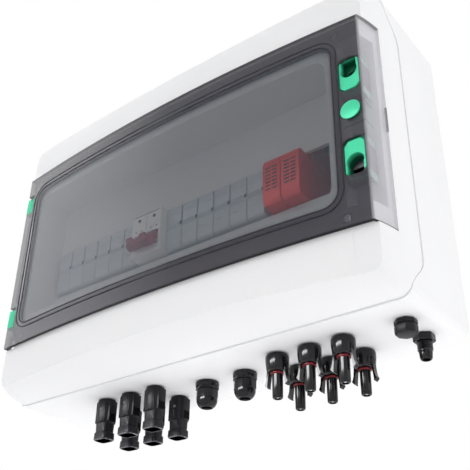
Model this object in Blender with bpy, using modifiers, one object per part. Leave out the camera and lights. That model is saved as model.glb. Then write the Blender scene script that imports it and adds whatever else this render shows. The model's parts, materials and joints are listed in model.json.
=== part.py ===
"""DC combiner box: a wall-hung plastic enclosure with a smoked door, fuses, breaker, surge arrester and plugs.

Units are metres, X runs to the right, Z up and -Y out of the wall. The origin is the centre of the back face.
"""

import math

import bmesh
import bpy

MM = 0.001

# Enclosure
BOX_WIDTH = 410 * MM
BOX_HEIGHT = 285 * MM
BOX_DEPTH = 140 * MM
WALL = 3.5 * MM
BASE_DRAFT = 2.5 * MM
BASE_CORNER_RADIUS = 9 * MM
BASE_BACK_RADIUS = 3 * MM
CLEARANCE = 0.3 * MM
JOIN = 1 * MM

# Seam between base and cover, deeper on the sides than along the top and the bottom
SEAM_SIDE_DEPTH = 72 * MM
SEAM_END_DEPTH = 97 * MM
SEAM_END_ROOM = 38.5 * MM
SEAM_BEND_HEIGHT = 34 * MM
SEAM_BEND_STEPS = 6
SEAM_STEP = 1 * MM

# Cover, rounded over its shoulders and bowed across its front
SHOULDER_DEPTH = 40 * MM
SHOULDER_SIDE_DROP = 8 * MM
SHOULDER_END_DROP = 11 * MM
SHOULDER_STEPS = 8
COVER_CORNER_RADIUS = 9 * MM
CORNER_STEPS = 4
BOW_RISE = 9.6 * MM
BOW_STEPS = 16
DOOR_STAND = 4.3 * MM
COVER_EDGE_BEVEL = 1.2 * MM

# Gasket between base and cover
GASKET_WIDTH = 1.3 * MM
GASKET_DEPTH = 1.2 * MM
GASKET_CLEARANCE = 0.2 * MM

# Door
DOOR_END_MARGIN = 46.8 * MM
DOOR_THICKNESS = 3 * MM
FLANGE_THICKNESS = 2.5 * MM
LIP_THICKNESS = 2.1 * MM
FLANGE_DEPTH = 24 * MM
DOOR_EDGE_BEVEL = 0.5 * MM
SEAL_LEFT_MARGIN = 3 * MM
SEAL_RIGHT_MARGIN = 8 * MM
SEAL_END_MARGIN = 10 * MM
SEAL_RADIUS = 14 * MM
SEAL_STRIP = 2.4 * MM
SEAL_GROOVE = 1.4 * MM

# Hinge on the left edge
HINGE_INSET = 2.5 * MM
HINGE_BACK = 18.5 * MM
HINGE_END_MARGIN = 31.2 * MM
HINGE_CLIP_LENGTH = 20 * MM
HINGE_LUG_LENGTH = 8 * MM
HINGE_LUG_RADIUS = 4.2 * MM
HINGE_PIN_RADIUS = 2.2 * MM
HINGE_CHANNEL_RADIUS = 8 * MM
HINGE_BARREL_RADIUS = 6.8 * MM
HINGE_FOOT_WIDTH = 9 * MM
HINGE_CLIP_CHAMFER = 0.6 * MM

# Latches and lock cap on the right strip
LATCH_INSET = 10.5 * MM
LATCH_Z = 38.5 * MM
LATCH_WINDOW_WIDTH = 17 * MM
LATCH_WINDOW_HEIGHT = 33 * MM
LATCH_WINDOW_CHAMFER = 3.5 * MM
LATCH_PLATE_DEPTH = 9 * MM
LATCH_PLATE_MARGIN = 6 * MM
LATCH_SIDE_MARGIN = 0.2 * MM
LATCH_TONGUE = 5 * MM
LATCH_GRIP_RADIUS = 7 * MM
LATCH_GRIP_DEPTH = 10 * MM
LATCH_GRIP_INSET = 12 * MM
LATCH_TRAVEL = 2 * MM
LATCH_POCKET_MARGIN = 1.5 * MM
LATCH_POCKET_SPARE = 2 * MM
LATCH_POCKET_END_ROOM = 20 * MM
LATCH_EDGE = 0.6 * MM
LATCH_WINDOW_REACH = 4 * MM
LOCK_Z = 2.5 * MM
LOCK_RADIUS = 8.2 * MM
LOCK_PROUD = 0.5 * MM
LOCK_RIM = 1.2 * MM
LOCK_SHANK = 7 * MM

# Window tub of the cover, with the slot for the row of devices
TUB_LEFT_INSET = 19.5 * MM
TUB_RIGHT_INSET = 31.5 * MM
TUB_END_INSET = 28.7 * MM
TUB_RADIUS = 12 * MM
TUB_FLOOR_Y = -94 * MM
SLOT_MARGIN = 2 * MM

# Row of devices on the rail
MODULE = 18 * MM
MODULE_GAP = 0.6 * MM
ROW_INSET = 4 * MM
ROW_Z = -9 * MM
POLES_PER_HOLDER = 2
BREAKER_MODULES = 2
SURGE_MODULES = 2
SPARE_MODULES = 2
SURGE_GAP = 4 * MM
RAIL_FRONT_Y = -38 * MM
RAIL_DEPTH = 7.5 * MM
RAIL_HEIGHT = 35 * MM
RAIL_CHANNEL_HEIGHT = 25 * MM
RAIL_SHEET = 1 * MM
RAIL_OVERHANG = 4 * MM
BRACKET_WIDTH = 24 * MM
BRACKET_HEIGHT = 50 * MM
BRACKET_INSET = 40 * MM
BRACKET_EDGE = 1 * MM
DEVICE_EDGE = 0.4 * MM
DEVICE_HALF_HEIGHT = 45 * MM
DEVICE_BACK = 3.5 * MM
DEVICE_SHOULDER_Y = -82 * MM
NOSE_HALF_HEIGHT = 22.5 * MM
FUSE_FRONT_Y = -98 * MM
FUSE_BODY_NOSE = 1.2 * MM
CARRIER_GAP = 0.8 * MM
CARRIER_PIVOT_INSET = 3 * MM
CARRIER_GROOVE = 2 * MM
BREAKER_FRONT_Y = -106 * MM
TOGGLE_DROP = 6 * MM
TOGGLE_HUB_RADIUS = 5 * MM
TOGGLE_LEVER = 15 * MM
TOGGLE_THICKNESS = 4 * MM
TOGGLE_TIP_SHARE = 0.8
TOGGLE_REST_DEG = 42
TOGGLE_POCKET_MARGIN = 1.2 * MM
TOGGLE_SIDE_MARGIN = 3.5 * MM
SURGE_FRONT_Y = -107 * MM
SURGE_PLUG_DEPTH = 46 * MM
SURGE_CHAMFER = 5 * MM

# Busbar under the right fuse bank, and earth bar on the back wall
BUSBAR_THICKNESS = 2 * MM
BUSBAR_DEPTH = 10 * MM
BUSBAR_Y = -62 * MM
EARTH_BAR_LENGTH = 90 * MM
EARTH_BAR_HEIGHT = 10 * MM
EARTH_BAR_DEPTH = 8 * MM
EARTH_BAR_X = 60 * MM
EARTH_BAR_RISE = 47.5 * MM
EARTH_SCREWS = 6
EARTH_SCREW_RADIUS = 3 * MM
EARTH_SCREW_HEAD = 2 * MM

# Screws that hold the cover
COVER_SCREW_SIDE_INSET = 21.5 * MM
COVER_SCREW_END_INSET = 9.7 * MM
COVER_SCREW_RADIUS = 2 * MM
COVER_SCREW_HEAD_RADIUS = 4 * MM
COVER_SCREW_HEAD = 3 * MM
COVER_SCREW_CROWN = 0.9 * MM
COVER_SCREW_BITE = 19.9 * MM
COVER_BOSS_RADIUS = 5.5 * MM
COVER_SCREW_SINK = 4 * MM

# Holes for the wall screws
WALL_HOLE_SIDE_MARGIN = 55 * MM
WALL_HOLE_END_MARGIN = 24.5 * MM
WALL_HOLE_RADIUS = 3 * MM

# Connectors under the box
PV_PITCH = 29.6 * MM
PV_COLUMNS = 3
PV_ROW_Y = (-65 * MM, -32.5 * MM)
SOCKET_FIRST_X = -117.4 * MM
PLUG_FIRST_X = 70.5 * MM
PV_SHANK_RADIUS = 6 * MM
PV_NUT_RADIUS = 10 * MM
PV_NUT_HEIGHT = 4 * MM
COLLAR_FOOT_INSET = 2.5 * MM
COLLAR_FOOT_RISE = 1.2 * MM
COLLAR_SHOULDER_INSET = 0.6 * MM
COLLAR_SHOULDER_RISE = 3.5 * MM
COLLAR_EDGE = 1 * MM
SOCKET_COLLAR_RADIUS = 8.9 * MM
SOCKET_COLLAR_LENGTH = 22.5 * MM
SOCKET_NECK = 12.6 * MM
SOCKET_NECK_RADIUS = 2 * MM
SOCKET_NECK_OVERLAP = 2 * MM
SOCKET_MOUTH = 16 * MM
SOCKET_MOUTH_LENGTH = 6.6 * MM
SOCKET_MOUTH_RADIUS = 2.5 * MM
SOCKET_MOUTH_EDGE = 0.8 * MM
SOCKET_LENGTH = 37.8 * MM
SOCKET_BORE_RADIUS = 4.7 * MM
SOCKET_BORE_DEPTH = 22 * MM
SOCKET_NOTCH = 4 * MM
PLUG_COLLAR_RADIUS = 9.5 * MM
PLUG_COLLAR_LENGTH = 15 * MM
PLUG_SEAT_RADIUS = 5.6 * MM
PLUG_SEAT_LENGTH = 4 * MM
PLUG_SLEEVE_RADIUS = 4.2 * MM
PLUG_SLEEVE_EDGE = 0.8 * MM
PLUG_LENGTH = 36.4 * MM
PLUG_BORE_RADIUS = 2.4 * MM
PLUG_BORE_DEPTH = 18 * MM
PLUG_ARM_WIDTH = 5 * MM
PLUG_ARM_THICKNESS = 2 * MM
PLUG_ARM_LENGTH = 11.5 * MM
PLUG_ARM_BARB = 1.3 * MM
PLUG_ARM_INSET = 0.4 * MM
GLAND_X = (-13.3 * MM, 26.8 * MM)
GLAND_Y = -48.3 * MM
GLAND_SHANK_RADIUS = 7.6 * MM
GLAND_HEX_RADIUS = 10.8 * MM
GLAND_HEX_HEIGHT = 7.1 * MM
GLAND_NECK_RADIUS = 6.3 * MM
GLAND_NECK_LENGTH = 9.6 * MM
GLAND_NUT_RADIUS = 9.2 * MM
GLAND_BORE_RADIUS = 4.4 * MM
GLAND_RIBS = 6
GLAND_RIB_WIDTH = 2.4 * MM
GLAND_RIB_LENGTH = 7 * MM
GLAND_RIB_START = 0.5 * MM
GLAND_DOME_STEPS = ((0.0, 8 * MM), (0.8 * MM, 10.9 * MM), (2.2 * MM, 14.4 * MM), (3.6 * MM, 15.8 * MM))
HEX_SIDES = 6
VENT_SIDE_MARGIN = 24.3 * MM
VENT_Y = -65 * MM
VENT_RADIUS = 8.7 * MM
VENT_HEIGHT = 11.6 * MM
VENT_SHANK_RADIUS = 4.6 * MM
VENT_NUT_INSET = 1.4 * MM
VENT_EDGE = 1.2 * MM
VENT_SIDES = 8
VENT_SLOT_DROP = 4 * MM
VENT_SLOT_WIDTH = 1.2 * MM
VENT_SLOT_DEPTH = 1.2 * MM
EARTH_GLAND_Y = -33.8 * MM
EARTH_GLAND_HEX_RADIUS = 8.7 * MM
EARTH_GLAND_HEX_HEIGHT = 6 * MM
EARTH_GLAND_THREAD_RADIUS = 5.7 * MM
EARTH_GLAND_THREAD_LENGTH = 7.5 * MM
EARTH_GLAND_TIP_LENGTH = 6.5 * MM
EARTH_GLAND_TIP_STEP = 0.8 * MM
EARTH_GLAND_TIP_TAPER = 0.6 * MM
EARTH_GLAND_TIP_SLOPE = 0.5 * MM
EARTH_GLAND_BORE_RADIUS = 3 * MM
EARTH_GLAND_SLITS = 4
EARTH_GLAND_SLIT = 1.2 * MM
EARTH_GLAND_SLIT_SHARE = 0.85

# Round pieces
FINE_SEGMENTS = 24
ROUND_SEGMENTS = 16
SMALL_SEGMENTS = 12

# Worked out from the sizes above
BACK_WALL_Y = -WALL
BOTTOM_Z = -BOX_HEIGHT / 2
SEAM_FLAT_HALF_HEIGHT = BOX_HEIGHT / 2 - SEAM_END_ROOM
WALL_HOLE_X = BOX_WIDTH / 2 - WALL_HOLE_SIDE_MARGIN
WALL_HOLE_Z = BOX_HEIGHT / 2 - WALL_HOLE_END_MARGIN
VENT_X = BOX_WIDTH / 2 - VENT_SIDE_MARGIN
EARTH_BAR_Z = BOTTOM_Z + EARTH_BAR_RISE
BASE_SEAM_WIDTH = BOX_WIDTH - 2 * BASE_DRAFT
COVER_HALF_WIDTH = BASE_SEAM_WIDTH / 2 - SEAM_STEP
COVER_HALF_HEIGHT = BOX_HEIGHT / 2 - SEAM_STEP
DOOR_EDGE_Y = -(BOX_DEPTH - BOW_RISE)
BAND_EDGE_Y = DOOR_EDGE_Y + DOOR_STAND
SHOULDER_START_Y = DOOR_EDGE_Y + SHOULDER_DEPTH
DOOR_HALF_WIDTH = COVER_HALF_WIDTH - SHOULDER_SIDE_DROP
DOOR_HEIGHT = BOX_HEIGHT - 2 * DOOR_END_MARGIN
COVER_SCREW_X = DOOR_HALF_WIDTH - COVER_SCREW_SIDE_INSET
COVER_SCREW_Z = DOOR_HEIGHT / 2 - COVER_SCREW_END_INSET
COVER_BOSS_MEET_Y = -SEAM_SIDE_DEPTH
FLANGE_END_Y = DOOR_EDGE_Y + FLANGE_DEPTH
HINGE_X = HINGE_INSET - DOOR_HALF_WIDTH
HINGE_Y = DOOR_EDGE_Y + HINGE_BACK - HINGE_CHANNEL_RADIUS
HINGE_HEIGHTS = (DOOR_HEIGHT / 2 - HINGE_END_MARGIN, HINGE_END_MARGIN - DOOR_HEIGHT / 2)
LATCH_X = DOOR_HALF_WIDTH - LATCH_INSET
CHANNEL_FLOOR_Y = HINGE_Y + HINGE_CHANNEL_RADIUS
CHANNEL_WALL_X = HINGE_X + HINGE_CHANNEL_RADIUS
FAR = BOX_WIDTH
TUB_LEFT = TUB_LEFT_INSET - DOOR_HALF_WIDTH
TUB_RIGHT = DOOR_HALF_WIDTH - TUB_RIGHT_INSET
TUB_HALF_HEIGHT = DOOR_HEIGHT / 2 - TUB_END_INSET
SEAL_WIDTH = TUB_RIGHT - TUB_LEFT + SEAL_LEFT_MARGIN + SEAL_RIGHT_MARGIN
SEAL_HEIGHT = 2 * (TUB_HALF_HEIGHT + SEAL_END_MARGIN)
SEAL_X = (TUB_LEFT + TUB_RIGHT + SEAL_RIGHT_MARGIN - SEAL_LEFT_MARGIN) / 2
ROW_LEFT = TUB_LEFT + ROW_INSET
HOLDER_WIDTH = POLES_PER_HOLDER * MODULE
FUSE_ROOM = TUB_RIGHT - ROW_LEFT - SURGE_GAP - (BREAKER_MODULES + SURGE_MODULES + SPARE_MODULES) * MODULE
HOLDERS_PER_BANK = int(FUSE_ROOM / 2 / HOLDER_WIDTH)
FUSES_PER_BANK = HOLDERS_PER_BANK * POLES_PER_HOLDER
SLOT_LEFT = ROW_LEFT - SLOT_MARGIN
BREAKER_LEFT = ROW_LEFT + FUSES_PER_BANK * MODULE
RIGHT_BANK_LEFT = BREAKER_LEFT + BREAKER_MODULES * MODULE
SURGE_LEFT = RIGHT_BANK_LEFT + FUSES_PER_BANK * MODULE + SURGE_GAP
SLOT_RIGHT = SURGE_LEFT + (SURGE_MODULES + SPARE_MODULES) * MODULE + SLOT_MARGIN
DEVICE_BACK_Y = RAIL_FRONT_Y + DEVICE_BACK
DEVICE_SEAT_Y = RAIL_FRONT_Y - CLEARANCE

# Colours of the finishes: linear red, green and blue, with roughness, metallic value and opacity
FINISHES = {
    "white_abs": ((0.86, 0.86, 0.88), 0.35, 0.0, 1.0),
    "smoked_polycarbonate": ((0.06, 0.062, 0.07), 0.12, 0.0, 0.45),
    "green_nylon": ((0.07, 0.74, 0.42), 0.4, 0.0, 1.0),
    "black_nylon": ((0.012, 0.012, 0.014), 0.35, 0.0, 1.0),
    "grey_rubber": ((0.1, 0.1, 0.1), 0.8, 0.0, 1.0),
    "zinc_steel": ((0.6, 0.61, 0.63), 0.35, 1.0, 1.0),
    "device_grey": ((0.62, 0.64, 0.66), 0.45, 0.0, 1.0),
    "device_white": ((0.83, 0.83, 0.81), 0.45, 0.0, 1.0),
    "handle_red": ((0.2, 0.015, 0.03), 0.4, 0.0, 1.0),
    "surge_red": ((0.6, 0.03, 0.03), 0.4, 0.0, 1.0),
    "copper": ((0.75, 0.36, 0.2), 0.3, 1.0, 1.0),
    "brass": ((0.72, 0.5, 0.2), 0.3, 1.0, 1.0),
}


def clear_scene():
    """Remove every object of the open scene."""
    for old in list(bpy.data.objects):
        bpy.data.objects.remove(old, do_unlink=True)


def new_collection(name):
    """Return a new collection in the scene."""
    collection = bpy.data.collections.new(name)
    bpy.context.scene.collection.children.link(collection)
    return collection


def make_material(name, finish):
    """Return a Principled material for one entry of FINISHES."""
    colour, roughness, metallic, alpha = finish
    material = bpy.data.materials.new(name)
    material.use_nodes = True
    shader = material.node_tree.nodes["Principled BSDF"]
    shader.inputs["Base Color"].default_value = (*colour, 1.0)
    shader.inputs["Roughness"].default_value = roughness
    shader.inputs["Metallic"].default_value = metallic
    shader.inputs["Alpha"].default_value = alpha
    material.diffuse_color = (*colour, alpha)
    return material


def add_mesh(name, fill, collection):
    """Return a new mesh object whose bmesh is filled by a function."""
    mesh = bpy.data.meshes.new(name)
    shape = bmesh.new()
    fill(shape)
    bmesh.ops.recalc_face_normals(shape, faces=shape.faces)
    shape.to_mesh(mesh)
    shape.free()
    thing = bpy.data.objects.new(name, mesh)
    collection.objects.link(thing)
    return thing


def finish_part(thing, material):
    """Give a part its material and move it into the collection of parts."""
    thing.data.materials.clear()
    thing.data.materials.append(MATERIALS[material])
    for collection in list(thing.users_collection):
        collection.objects.unlink(thing)
    PARTS.objects.link(thing)
    return thing


def box(name, low, high):
    """Return a box between two corners, with its origin in the middle."""
    centre = [(a + b) / 2 for a, b in zip(low, high)]
    size = [b - a for a, b in zip(low, high)]

    def fill(shape):
        bmesh.ops.create_cube(shape, size=1.0)
        bmesh.ops.scale(shape, vec=size, verts=shape.verts)

    thing = add_mesh(name, fill, CUTTERS)
    thing.location = centre
    return thing


def turned(name, profile, place, axis, segments=ROUND_SEGMENTS):
    """Return a turned solid: a profile of (radius, height) pairs spun about an axis through a place."""

    def fill(shape):
        points = [shape.verts.new((radius, 0.0, height)) for radius, height in profile]
        edges = [shape.edges.new(pair) for pair in zip(points, points[1:])]
        bmesh.ops.spin(shape, geom=points + edges, cent=(0, 0, 0), axis=(0, 0, 1), angle=math.tau,
                       steps=segments, use_merge=True)
        bmesh.ops.remove_doubles(shape, verts=shape.verts, dist=1e-6)

    thing = add_mesh(name, fill, CUTTERS)
    thing.location = place
    thing.rotation_euler = {"Z": (0, 0, 0), "-Z": (math.pi, 0, 0), "X": (0, math.pi / 2, 0),
                            "-Y": (math.pi / 2, 0, 0)}[axis]
    return thing


def rod(name, radius, length, place, axis, segments=ROUND_SEGMENTS):
    """Return a plain cylinder that starts at a place and runs along an axis."""
    return turned(name, [(0.0, 0.0), (radius, 0.0), (radius, length), (0.0, length)], place, axis, segments)


def prism(name, outline, low, high, axis):
    """Return a flat outline drawn as a filled curve, extruded from low to high along an axis.

    The outline is (x, y) along Z, (x, z) along Y and (y, z) along X.
    """
    curve = bpy.data.curves.new(name, "CURVE")
    curve.dimensions = "2D"
    curve.fill_mode = "BOTH"
    curve.extrude = (high - low) / 2
    spline = curve.splines.new("POLY")
    spline.points.add(len(outline) - 1)
    for point, (u, v) in zip(spline.points, outline):
        point.co = (u, v, 0.0, 1.0)
    spline.use_cyclic_u = True
    drawn = bpy.data.objects.new(name + "_curve", curve)
    CUTTERS.objects.link(drawn)
    middle = (low + high) / 2
    if axis == "Z":
        drawn.location = (0, 0, middle)
    elif axis == "Y":
        drawn.location = (0, middle, 0)
        drawn.rotation_euler = (math.pi / 2, 0, 0)
    else:
        drawn.location = (middle, 0, 0)
        drawn.rotation_euler = (math.pi / 2, 0, math.pi / 2)
    bpy.context.view_layer.update()
    graph = bpy.context.evaluated_depsgraph_get()
    mesh = bpy.data.meshes.new_from_object(drawn.evaluated_get(graph))
    shape = bmesh.new()
    shape.from_mesh(mesh)
    bmesh.ops.remove_doubles(shape, verts=shape.verts, dist=1e-7)
    bmesh.ops.recalc_face_normals(shape, faces=shape.faces)
    shape.to_mesh(mesh)
    shape.free()
    thing = bpy.data.objects.new(name, mesh)
    thing.matrix_world = drawn.matrix_world.copy()
    CUTTERS.objects.link(thing)
    bpy.data.objects.remove(drawn)
    return thing


def combine(target, others, operation):
    """Cut, join or intersect a target with other solids by exact Boolean modifiers."""
    for other in others:
        step = target.modifiers.new(f"{operation.lower()}_{other.name}", "BOOLEAN")
        step.object = other
        step.operation = operation
        step.solver = "EXACT"
        other.hide_render = True
        other.display_type = "WIRE"
    return target


def add_pivot(name, place, riders):
    """Add an empty on a joint's axis and hang moving parts on it without moving them."""
    pivot = bpy.data.objects.new(name, None)
    pivot.location = place
    PARTS.objects.link(pivot)
    bpy.context.view_layer.update()
    for rider in riders:
        rider.parent = pivot
        rider.matrix_parent_inverse = pivot.matrix_world.inverted()


def bevel(thing, width, segments=2, angle_deg=40):
    """Round the sharp edges of a solid with a Bevel modifier."""
    step = thing.modifiers.new("rounded_edges", "BEVEL")
    step.width = width
    step.segments = segments
    step.limit_method = "ANGLE"
    step.angle_limit = math.radians(angle_deg)
    return thing


def rounded_outline(half_width, half_height, radius, centre=(0.0, 0.0), steps=CORNER_STEPS):
    """Return the points of a rectangle with round corners."""
    points = []
    for corner, (side_u, side_v) in enumerate(((1, 1), (-1, 1), (-1, -1), (1, -1))):
        middle_u = centre[0] + side_u * (half_width - radius)
        middle_v = centre[1] + side_v * (half_height - radius)
        for step in range(steps + 1):
            angle = (corner + step / steps) * math.pi / 2
            points.append((middle_u + radius * math.cos(angle), middle_v + radius * math.sin(angle)))
    return points


def seam_depth(z, shift=0.0):
    """Return the Y of the seam at a height, moved along Y by a shift."""
    past_flat = (abs(z) - SEAM_FLAT_HALF_HEIGHT) / SEAM_BEND_HEIGHT
    share = min(max(past_flat, 0.0), 1.0)
    eased = share * share * (3 - 2 * share)
    return -(SEAM_SIDE_DEPTH + (SEAM_END_DEPTH - SEAM_SIDE_DEPTH) * eased) + shift


def seam_line(shift):
    """Return the (y, z) points of the seam from below the box to above it."""
    heights = [SEAM_FLAT_HALF_HEIGHT + SEAM_BEND_HEIGHT * step / SEAM_BEND_STEPS
               for step in range(SEAM_BEND_STEPS + 1)]
    heights.append(BOX_HEIGHT)
    ladder = [-z for z in reversed(heights)] + heights
    return [(seam_depth(z, shift), z) for z in ladder]


def behind_seam(name, shift=0.0):
    """Return the space on the wall side of the seam."""
    outline = seam_line(shift) + [(BOX_DEPTH, BOX_HEIGHT), (BOX_DEPTH, -BOX_HEIGHT)]
    return prism(name, outline, -FAR, FAR, "X")


def before_seam(name, shift=0.0):
    """Return the space on the door side of the seam."""
    outline = seam_line(shift) + [(-2 * BOX_DEPTH, BOX_HEIGHT), (-2 * BOX_DEPTH, -BOX_HEIGHT)]
    return prism(name, outline, -FAR, FAR, "X")


def shoulder_share(y):
    """Return how far a depth lies along the rounded shoulder of the cover, squared."""
    return max((SHOULDER_START_Y - y) / SHOULDER_DEPTH, 0.0) ** 2


def cover_half_width(y):
    """Return half the width of the cover at a depth."""
    return COVER_HALF_WIDTH - SHOULDER_SIDE_DROP * shoulder_share(y)


def cover_half_height(y):
    """Return half the height of the cover at a depth."""
    return COVER_HALF_HEIGHT - SHOULDER_END_DROP * shoulder_share(y)


def bow_y(x, edge_y):
    """Return the Y of the bowed front at a width, for a bow that ends at edge_y."""
    return edge_y - BOW_RISE * (1 - (x / DOOR_HALF_WIDTH) ** 2)


def bow_line(low_x, high_x, edge_y):
    """Return the (x, y) points of the bowed front between two widths."""
    return [(x, bow_y(x, edge_y))
            for x in (low_x + (high_x - low_x) * step / BOW_STEPS for step in range(BOW_STEPS + 1))]


def behind_bow(name, edge_y):
    """Return the space on the wall side of a bowed front."""
    outline = bow_line(-COVER_HALF_WIDTH, COVER_HALF_WIDTH, edge_y)
    outline += [(COVER_HALF_WIDTH + WALL, outline[-1][1]), (COVER_HALF_WIDTH + WALL, 0.0)]
    outline += [(-COVER_HALF_WIDTH - WALL, 0.0), (-COVER_HALF_WIDTH - WALL, outline[0][1])]
    return prism(name, outline, -BOX_HEIGHT, BOX_HEIGHT, "Z")


def cover_loft(name, inset):
    """Return the rounded block of the cover, made smaller all round by an inset."""
    depths = [-SEAM_SIDE_DEPTH / 2, SHOULDER_START_Y]
    reach = SHOULDER_START_Y + BOX_DEPTH + WALL
    depths += [SHOULDER_START_Y - reach * step / SHOULDER_STEPS for step in range(1, SHOULDER_STEPS + 1)]

    def fill(shape):
        rings = []
        for y in depths:
            outline = rounded_outline(cover_half_width(y) - inset, cover_half_height(y) - inset,
                                      COVER_CORNER_RADIUS - inset)
            rings.append([shape.verts.new((u, y, v)) for u, v in outline])
        for near, far in zip(rings, rings[1:]):
            for index, vert in enumerate(near):
                after = (index + 1) % len(near)
                shape.faces.new((vert, near[after], far[after], far[index]))
        shape.faces.new(rings[0])
        shape.faces.new(reversed(rings[-1]))

    return add_mesh(name, fill, CUTTERS)


def base_block(name, inset, back_y):
    """Return the drafted block of the base, made smaller by an inset and starting at a back plane."""
    front_y = -SEAM_END_DEPTH - WALL
    back_half = BOX_WIDTH / 2 - inset
    front_half = back_half - BASE_DRAFT * SEAM_END_DEPTH / SEAM_SIDE_DEPTH
    half_height = BOX_HEIGHT / 2 - inset

    def fill(shape):
        bmesh.ops.create_cube(shape, size=2.0)
        for vert in shape.verts:
            at_back = vert.co.y > 0
            vert.co.x *= back_half if at_back else front_half
            vert.co.z *= half_height
            vert.co.y = back_y if at_back else front_y
        along = [edge for edge in shape.edges if abs(edge.verts[0].co.y - edge.verts[1].co.y) > WALL]
        bmesh.ops.bevel(shape, geom=along, offset=BASE_CORNER_RADIUS - inset, offset_type="OFFSET",
                        segments=CORNER_STEPS, profile=0.5, affect="EDGES")
        if inset == 0.0:
            rim = [edge for edge in shape.edges if min(vert.co.y for vert in edge.verts) > back_y - MM]
            bmesh.ops.bevel(shape, geom=rim, offset=BASE_BACK_RADIUS, offset_type="OFFSET",
                            segments=2, profile=0.5, affect="EDGES")

    return add_mesh(name, fill, CUTTERS)


def screw_places():
    """Return the (x, z) of the four cover screws."""
    return [(side * COVER_SCREW_X, end * COVER_SCREW_Z) for end in (1, -1) for side in (-1, 1)]


def connector_places(first_x):
    """Return the (x, y) of one block of connectors, front row first."""
    return [(first_x + column * PV_PITCH, y) for y in PV_ROW_Y for column in range(PV_COLUMNS)]


def build_base():
    """Build the rear base with its bosses, connector holes and wall-screw holes."""
    base = base_block("rear_base", 0.0, 0.0)
    combine(base, [behind_seam("base_front_limit")], "INTERSECT")
    cavity = base_block("base_cavity", WALL, BACK_WALL_Y)
    bosses = [rod(f"base_boss_{index}", COVER_BOSS_RADIUS, -COVER_BOSS_MEET_Y, (x, 0, z), "-Y")
              for index, (x, z) in enumerate(screw_places())]
    combine(cavity, bosses, "DIFFERENCE")
    bores = [rod(f"base_boss_bore_{index}", COVER_SCREW_RADIUS + CLEARANCE, -COVER_BOSS_MEET_Y,
                 (x, BACK_WALL_Y, z), "-Y", SMALL_SEGMENTS) for index, (x, z) in enumerate(screw_places())]
    groove = gasket_ring("base_gasket_groove", GASKET_CLEARANCE)
    combine(groove, [before_seam("groove_floor", GASKET_DEPTH)], "INTERSECT")
    holes = []
    for index, (x, y) in enumerate(connector_places(SOCKET_FIRST_X) + connector_places(PLUG_FIRST_X)):
        holes.append((f"connector_hole_{index}", PV_SHANK_RADIUS, x, y))
    for index, x in enumerate(GLAND_X):
        holes.append((f"gland_hole_{index}", GLAND_SHANK_RADIUS, x, GLAND_Y))
    holes.append(("vent_hole", VENT_SHANK_RADIUS, VENT_X, VENT_Y))
    holes.append(("earth_gland_hole", EARTH_GLAND_THREAD_RADIUS, VENT_X, EARTH_GLAND_Y))
    drilled = [rod(name, radius + CLEARANCE, 3 * WALL, (x, y, BOTTOM_Z - WALL), "Z")
               for name, radius, x, y in holes]
    wall_holes = [rod(f"wall_hole_{side}_{end}", WALL_HOLE_RADIUS, 3 * WALL,
                      (side * WALL_HOLE_X, WALL, end * WALL_HOLE_Z), "-Y", SMALL_SEGMENTS)
                  for side in (-1, 1) for end in (-1, 1)]
    combine(base, [cavity, groove] + bores + drilled + wall_holes, "DIFFERENCE")
    return finish_part(base, "white_abs")


def gasket_ring(name, growth):
    """Return the upright ring that the gasket and its groove are cut from."""
    middle_width = COVER_HALF_WIDTH - WALL / 2
    middle_height = COVER_HALF_HEIGHT - WALL / 2
    half_strip = GASKET_WIDTH / 2 + growth
    rings = []
    for part, grow in (("outer", half_strip), ("inner", -half_strip)):
        outline = rounded_outline(middle_width + grow, middle_height + grow,
                                  COVER_CORNER_RADIUS - WALL / 2 + grow)
        rings.append(prism(name if part == "outer" else name + "_inner", outline,
                           -SEAM_END_DEPTH - WALL, -SEAM_SIDE_DEPTH + WALL, "Y"))
    return combine(rings[0], [rings[1]], "DIFFERENCE")


def build_gasket():
    """Build the sealing strip that lies in the groove of the base rim."""
    ring = gasket_ring("cover_gasket", 0.0)
    slab = [before_seam("gasket_back", GASKET_DEPTH - GASKET_CLEARANCE), behind_seam("gasket_front", 0.0)]
    return finish_part(combine(ring, slab, "INTERSECT"), "grey_rubber")


def tub_outline(grow):
    """Return the (x, z) outline of the window tub, grown all round."""
    centre = ((TUB_LEFT + TUB_RIGHT) / 2, 0.0)
    return rounded_outline((TUB_RIGHT - TUB_LEFT) / 2 + grow, TUB_HALF_HEIGHT + grow, TUB_RADIUS + grow, centre)


def flange_pocket(name, depth):
    """Return the space beside the cover that the door's right flange lies in."""
    steps = range(SHOULDER_STEPS + 1)
    back_y = FLANGE_END_Y + CLEARANCE
    front_y = -BOX_DEPTH - WALL
    inner = []
    for step in steps:
        y = back_y + (front_y - back_y) * step / SHOULDER_STEPS
        inner.append((cover_half_width(y) - depth, y))
    outline = inner + [(FAR, front_y), (FAR, back_y)]
    return prism(name, outline, -DOOR_HEIGHT / 2 - CLEARANCE, DOOR_HEIGHT / 2 + CLEARANCE, "Z")


def latch_space(name, grow):
    """Return the pocket of the cover that the latches hang in, grown by a wall."""
    half = latch_plate_height() / 2 + LATCH_POCKET_END_ROOM
    left = LATCH_X - LATCH_WINDOW_WIDTH / 2 - LATCH_POCKET_MARGIN - grow
    low = (left, -BOX_DEPTH, -LATCH_Z - half - grow)
    high = (FAR, latch_back_y() + LATCH_POCKET_SPARE + grow, LATCH_Z + half + grow)
    return box(name, low, high)


def latch_plate_height():
    """Return the height of a latch slider."""
    return LATCH_WINDOW_HEIGHT + LATCH_PLATE_MARGIN


def latch_front_y():
    """Return the Y of a latch slider's front, behind the door's inner face."""
    outer_edge = LATCH_X + LATCH_WINDOW_WIDTH / 2 + JOIN
    return bow_y(outer_edge, DOOR_EDGE_Y) + DOOR_THICKNESS + CLEARANCE


def latch_back_y():
    """Return the Y of the end of a latch's tongue."""
    return latch_front_y() + LATCH_PLATE_DEPTH + LATCH_TONGUE


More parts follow.
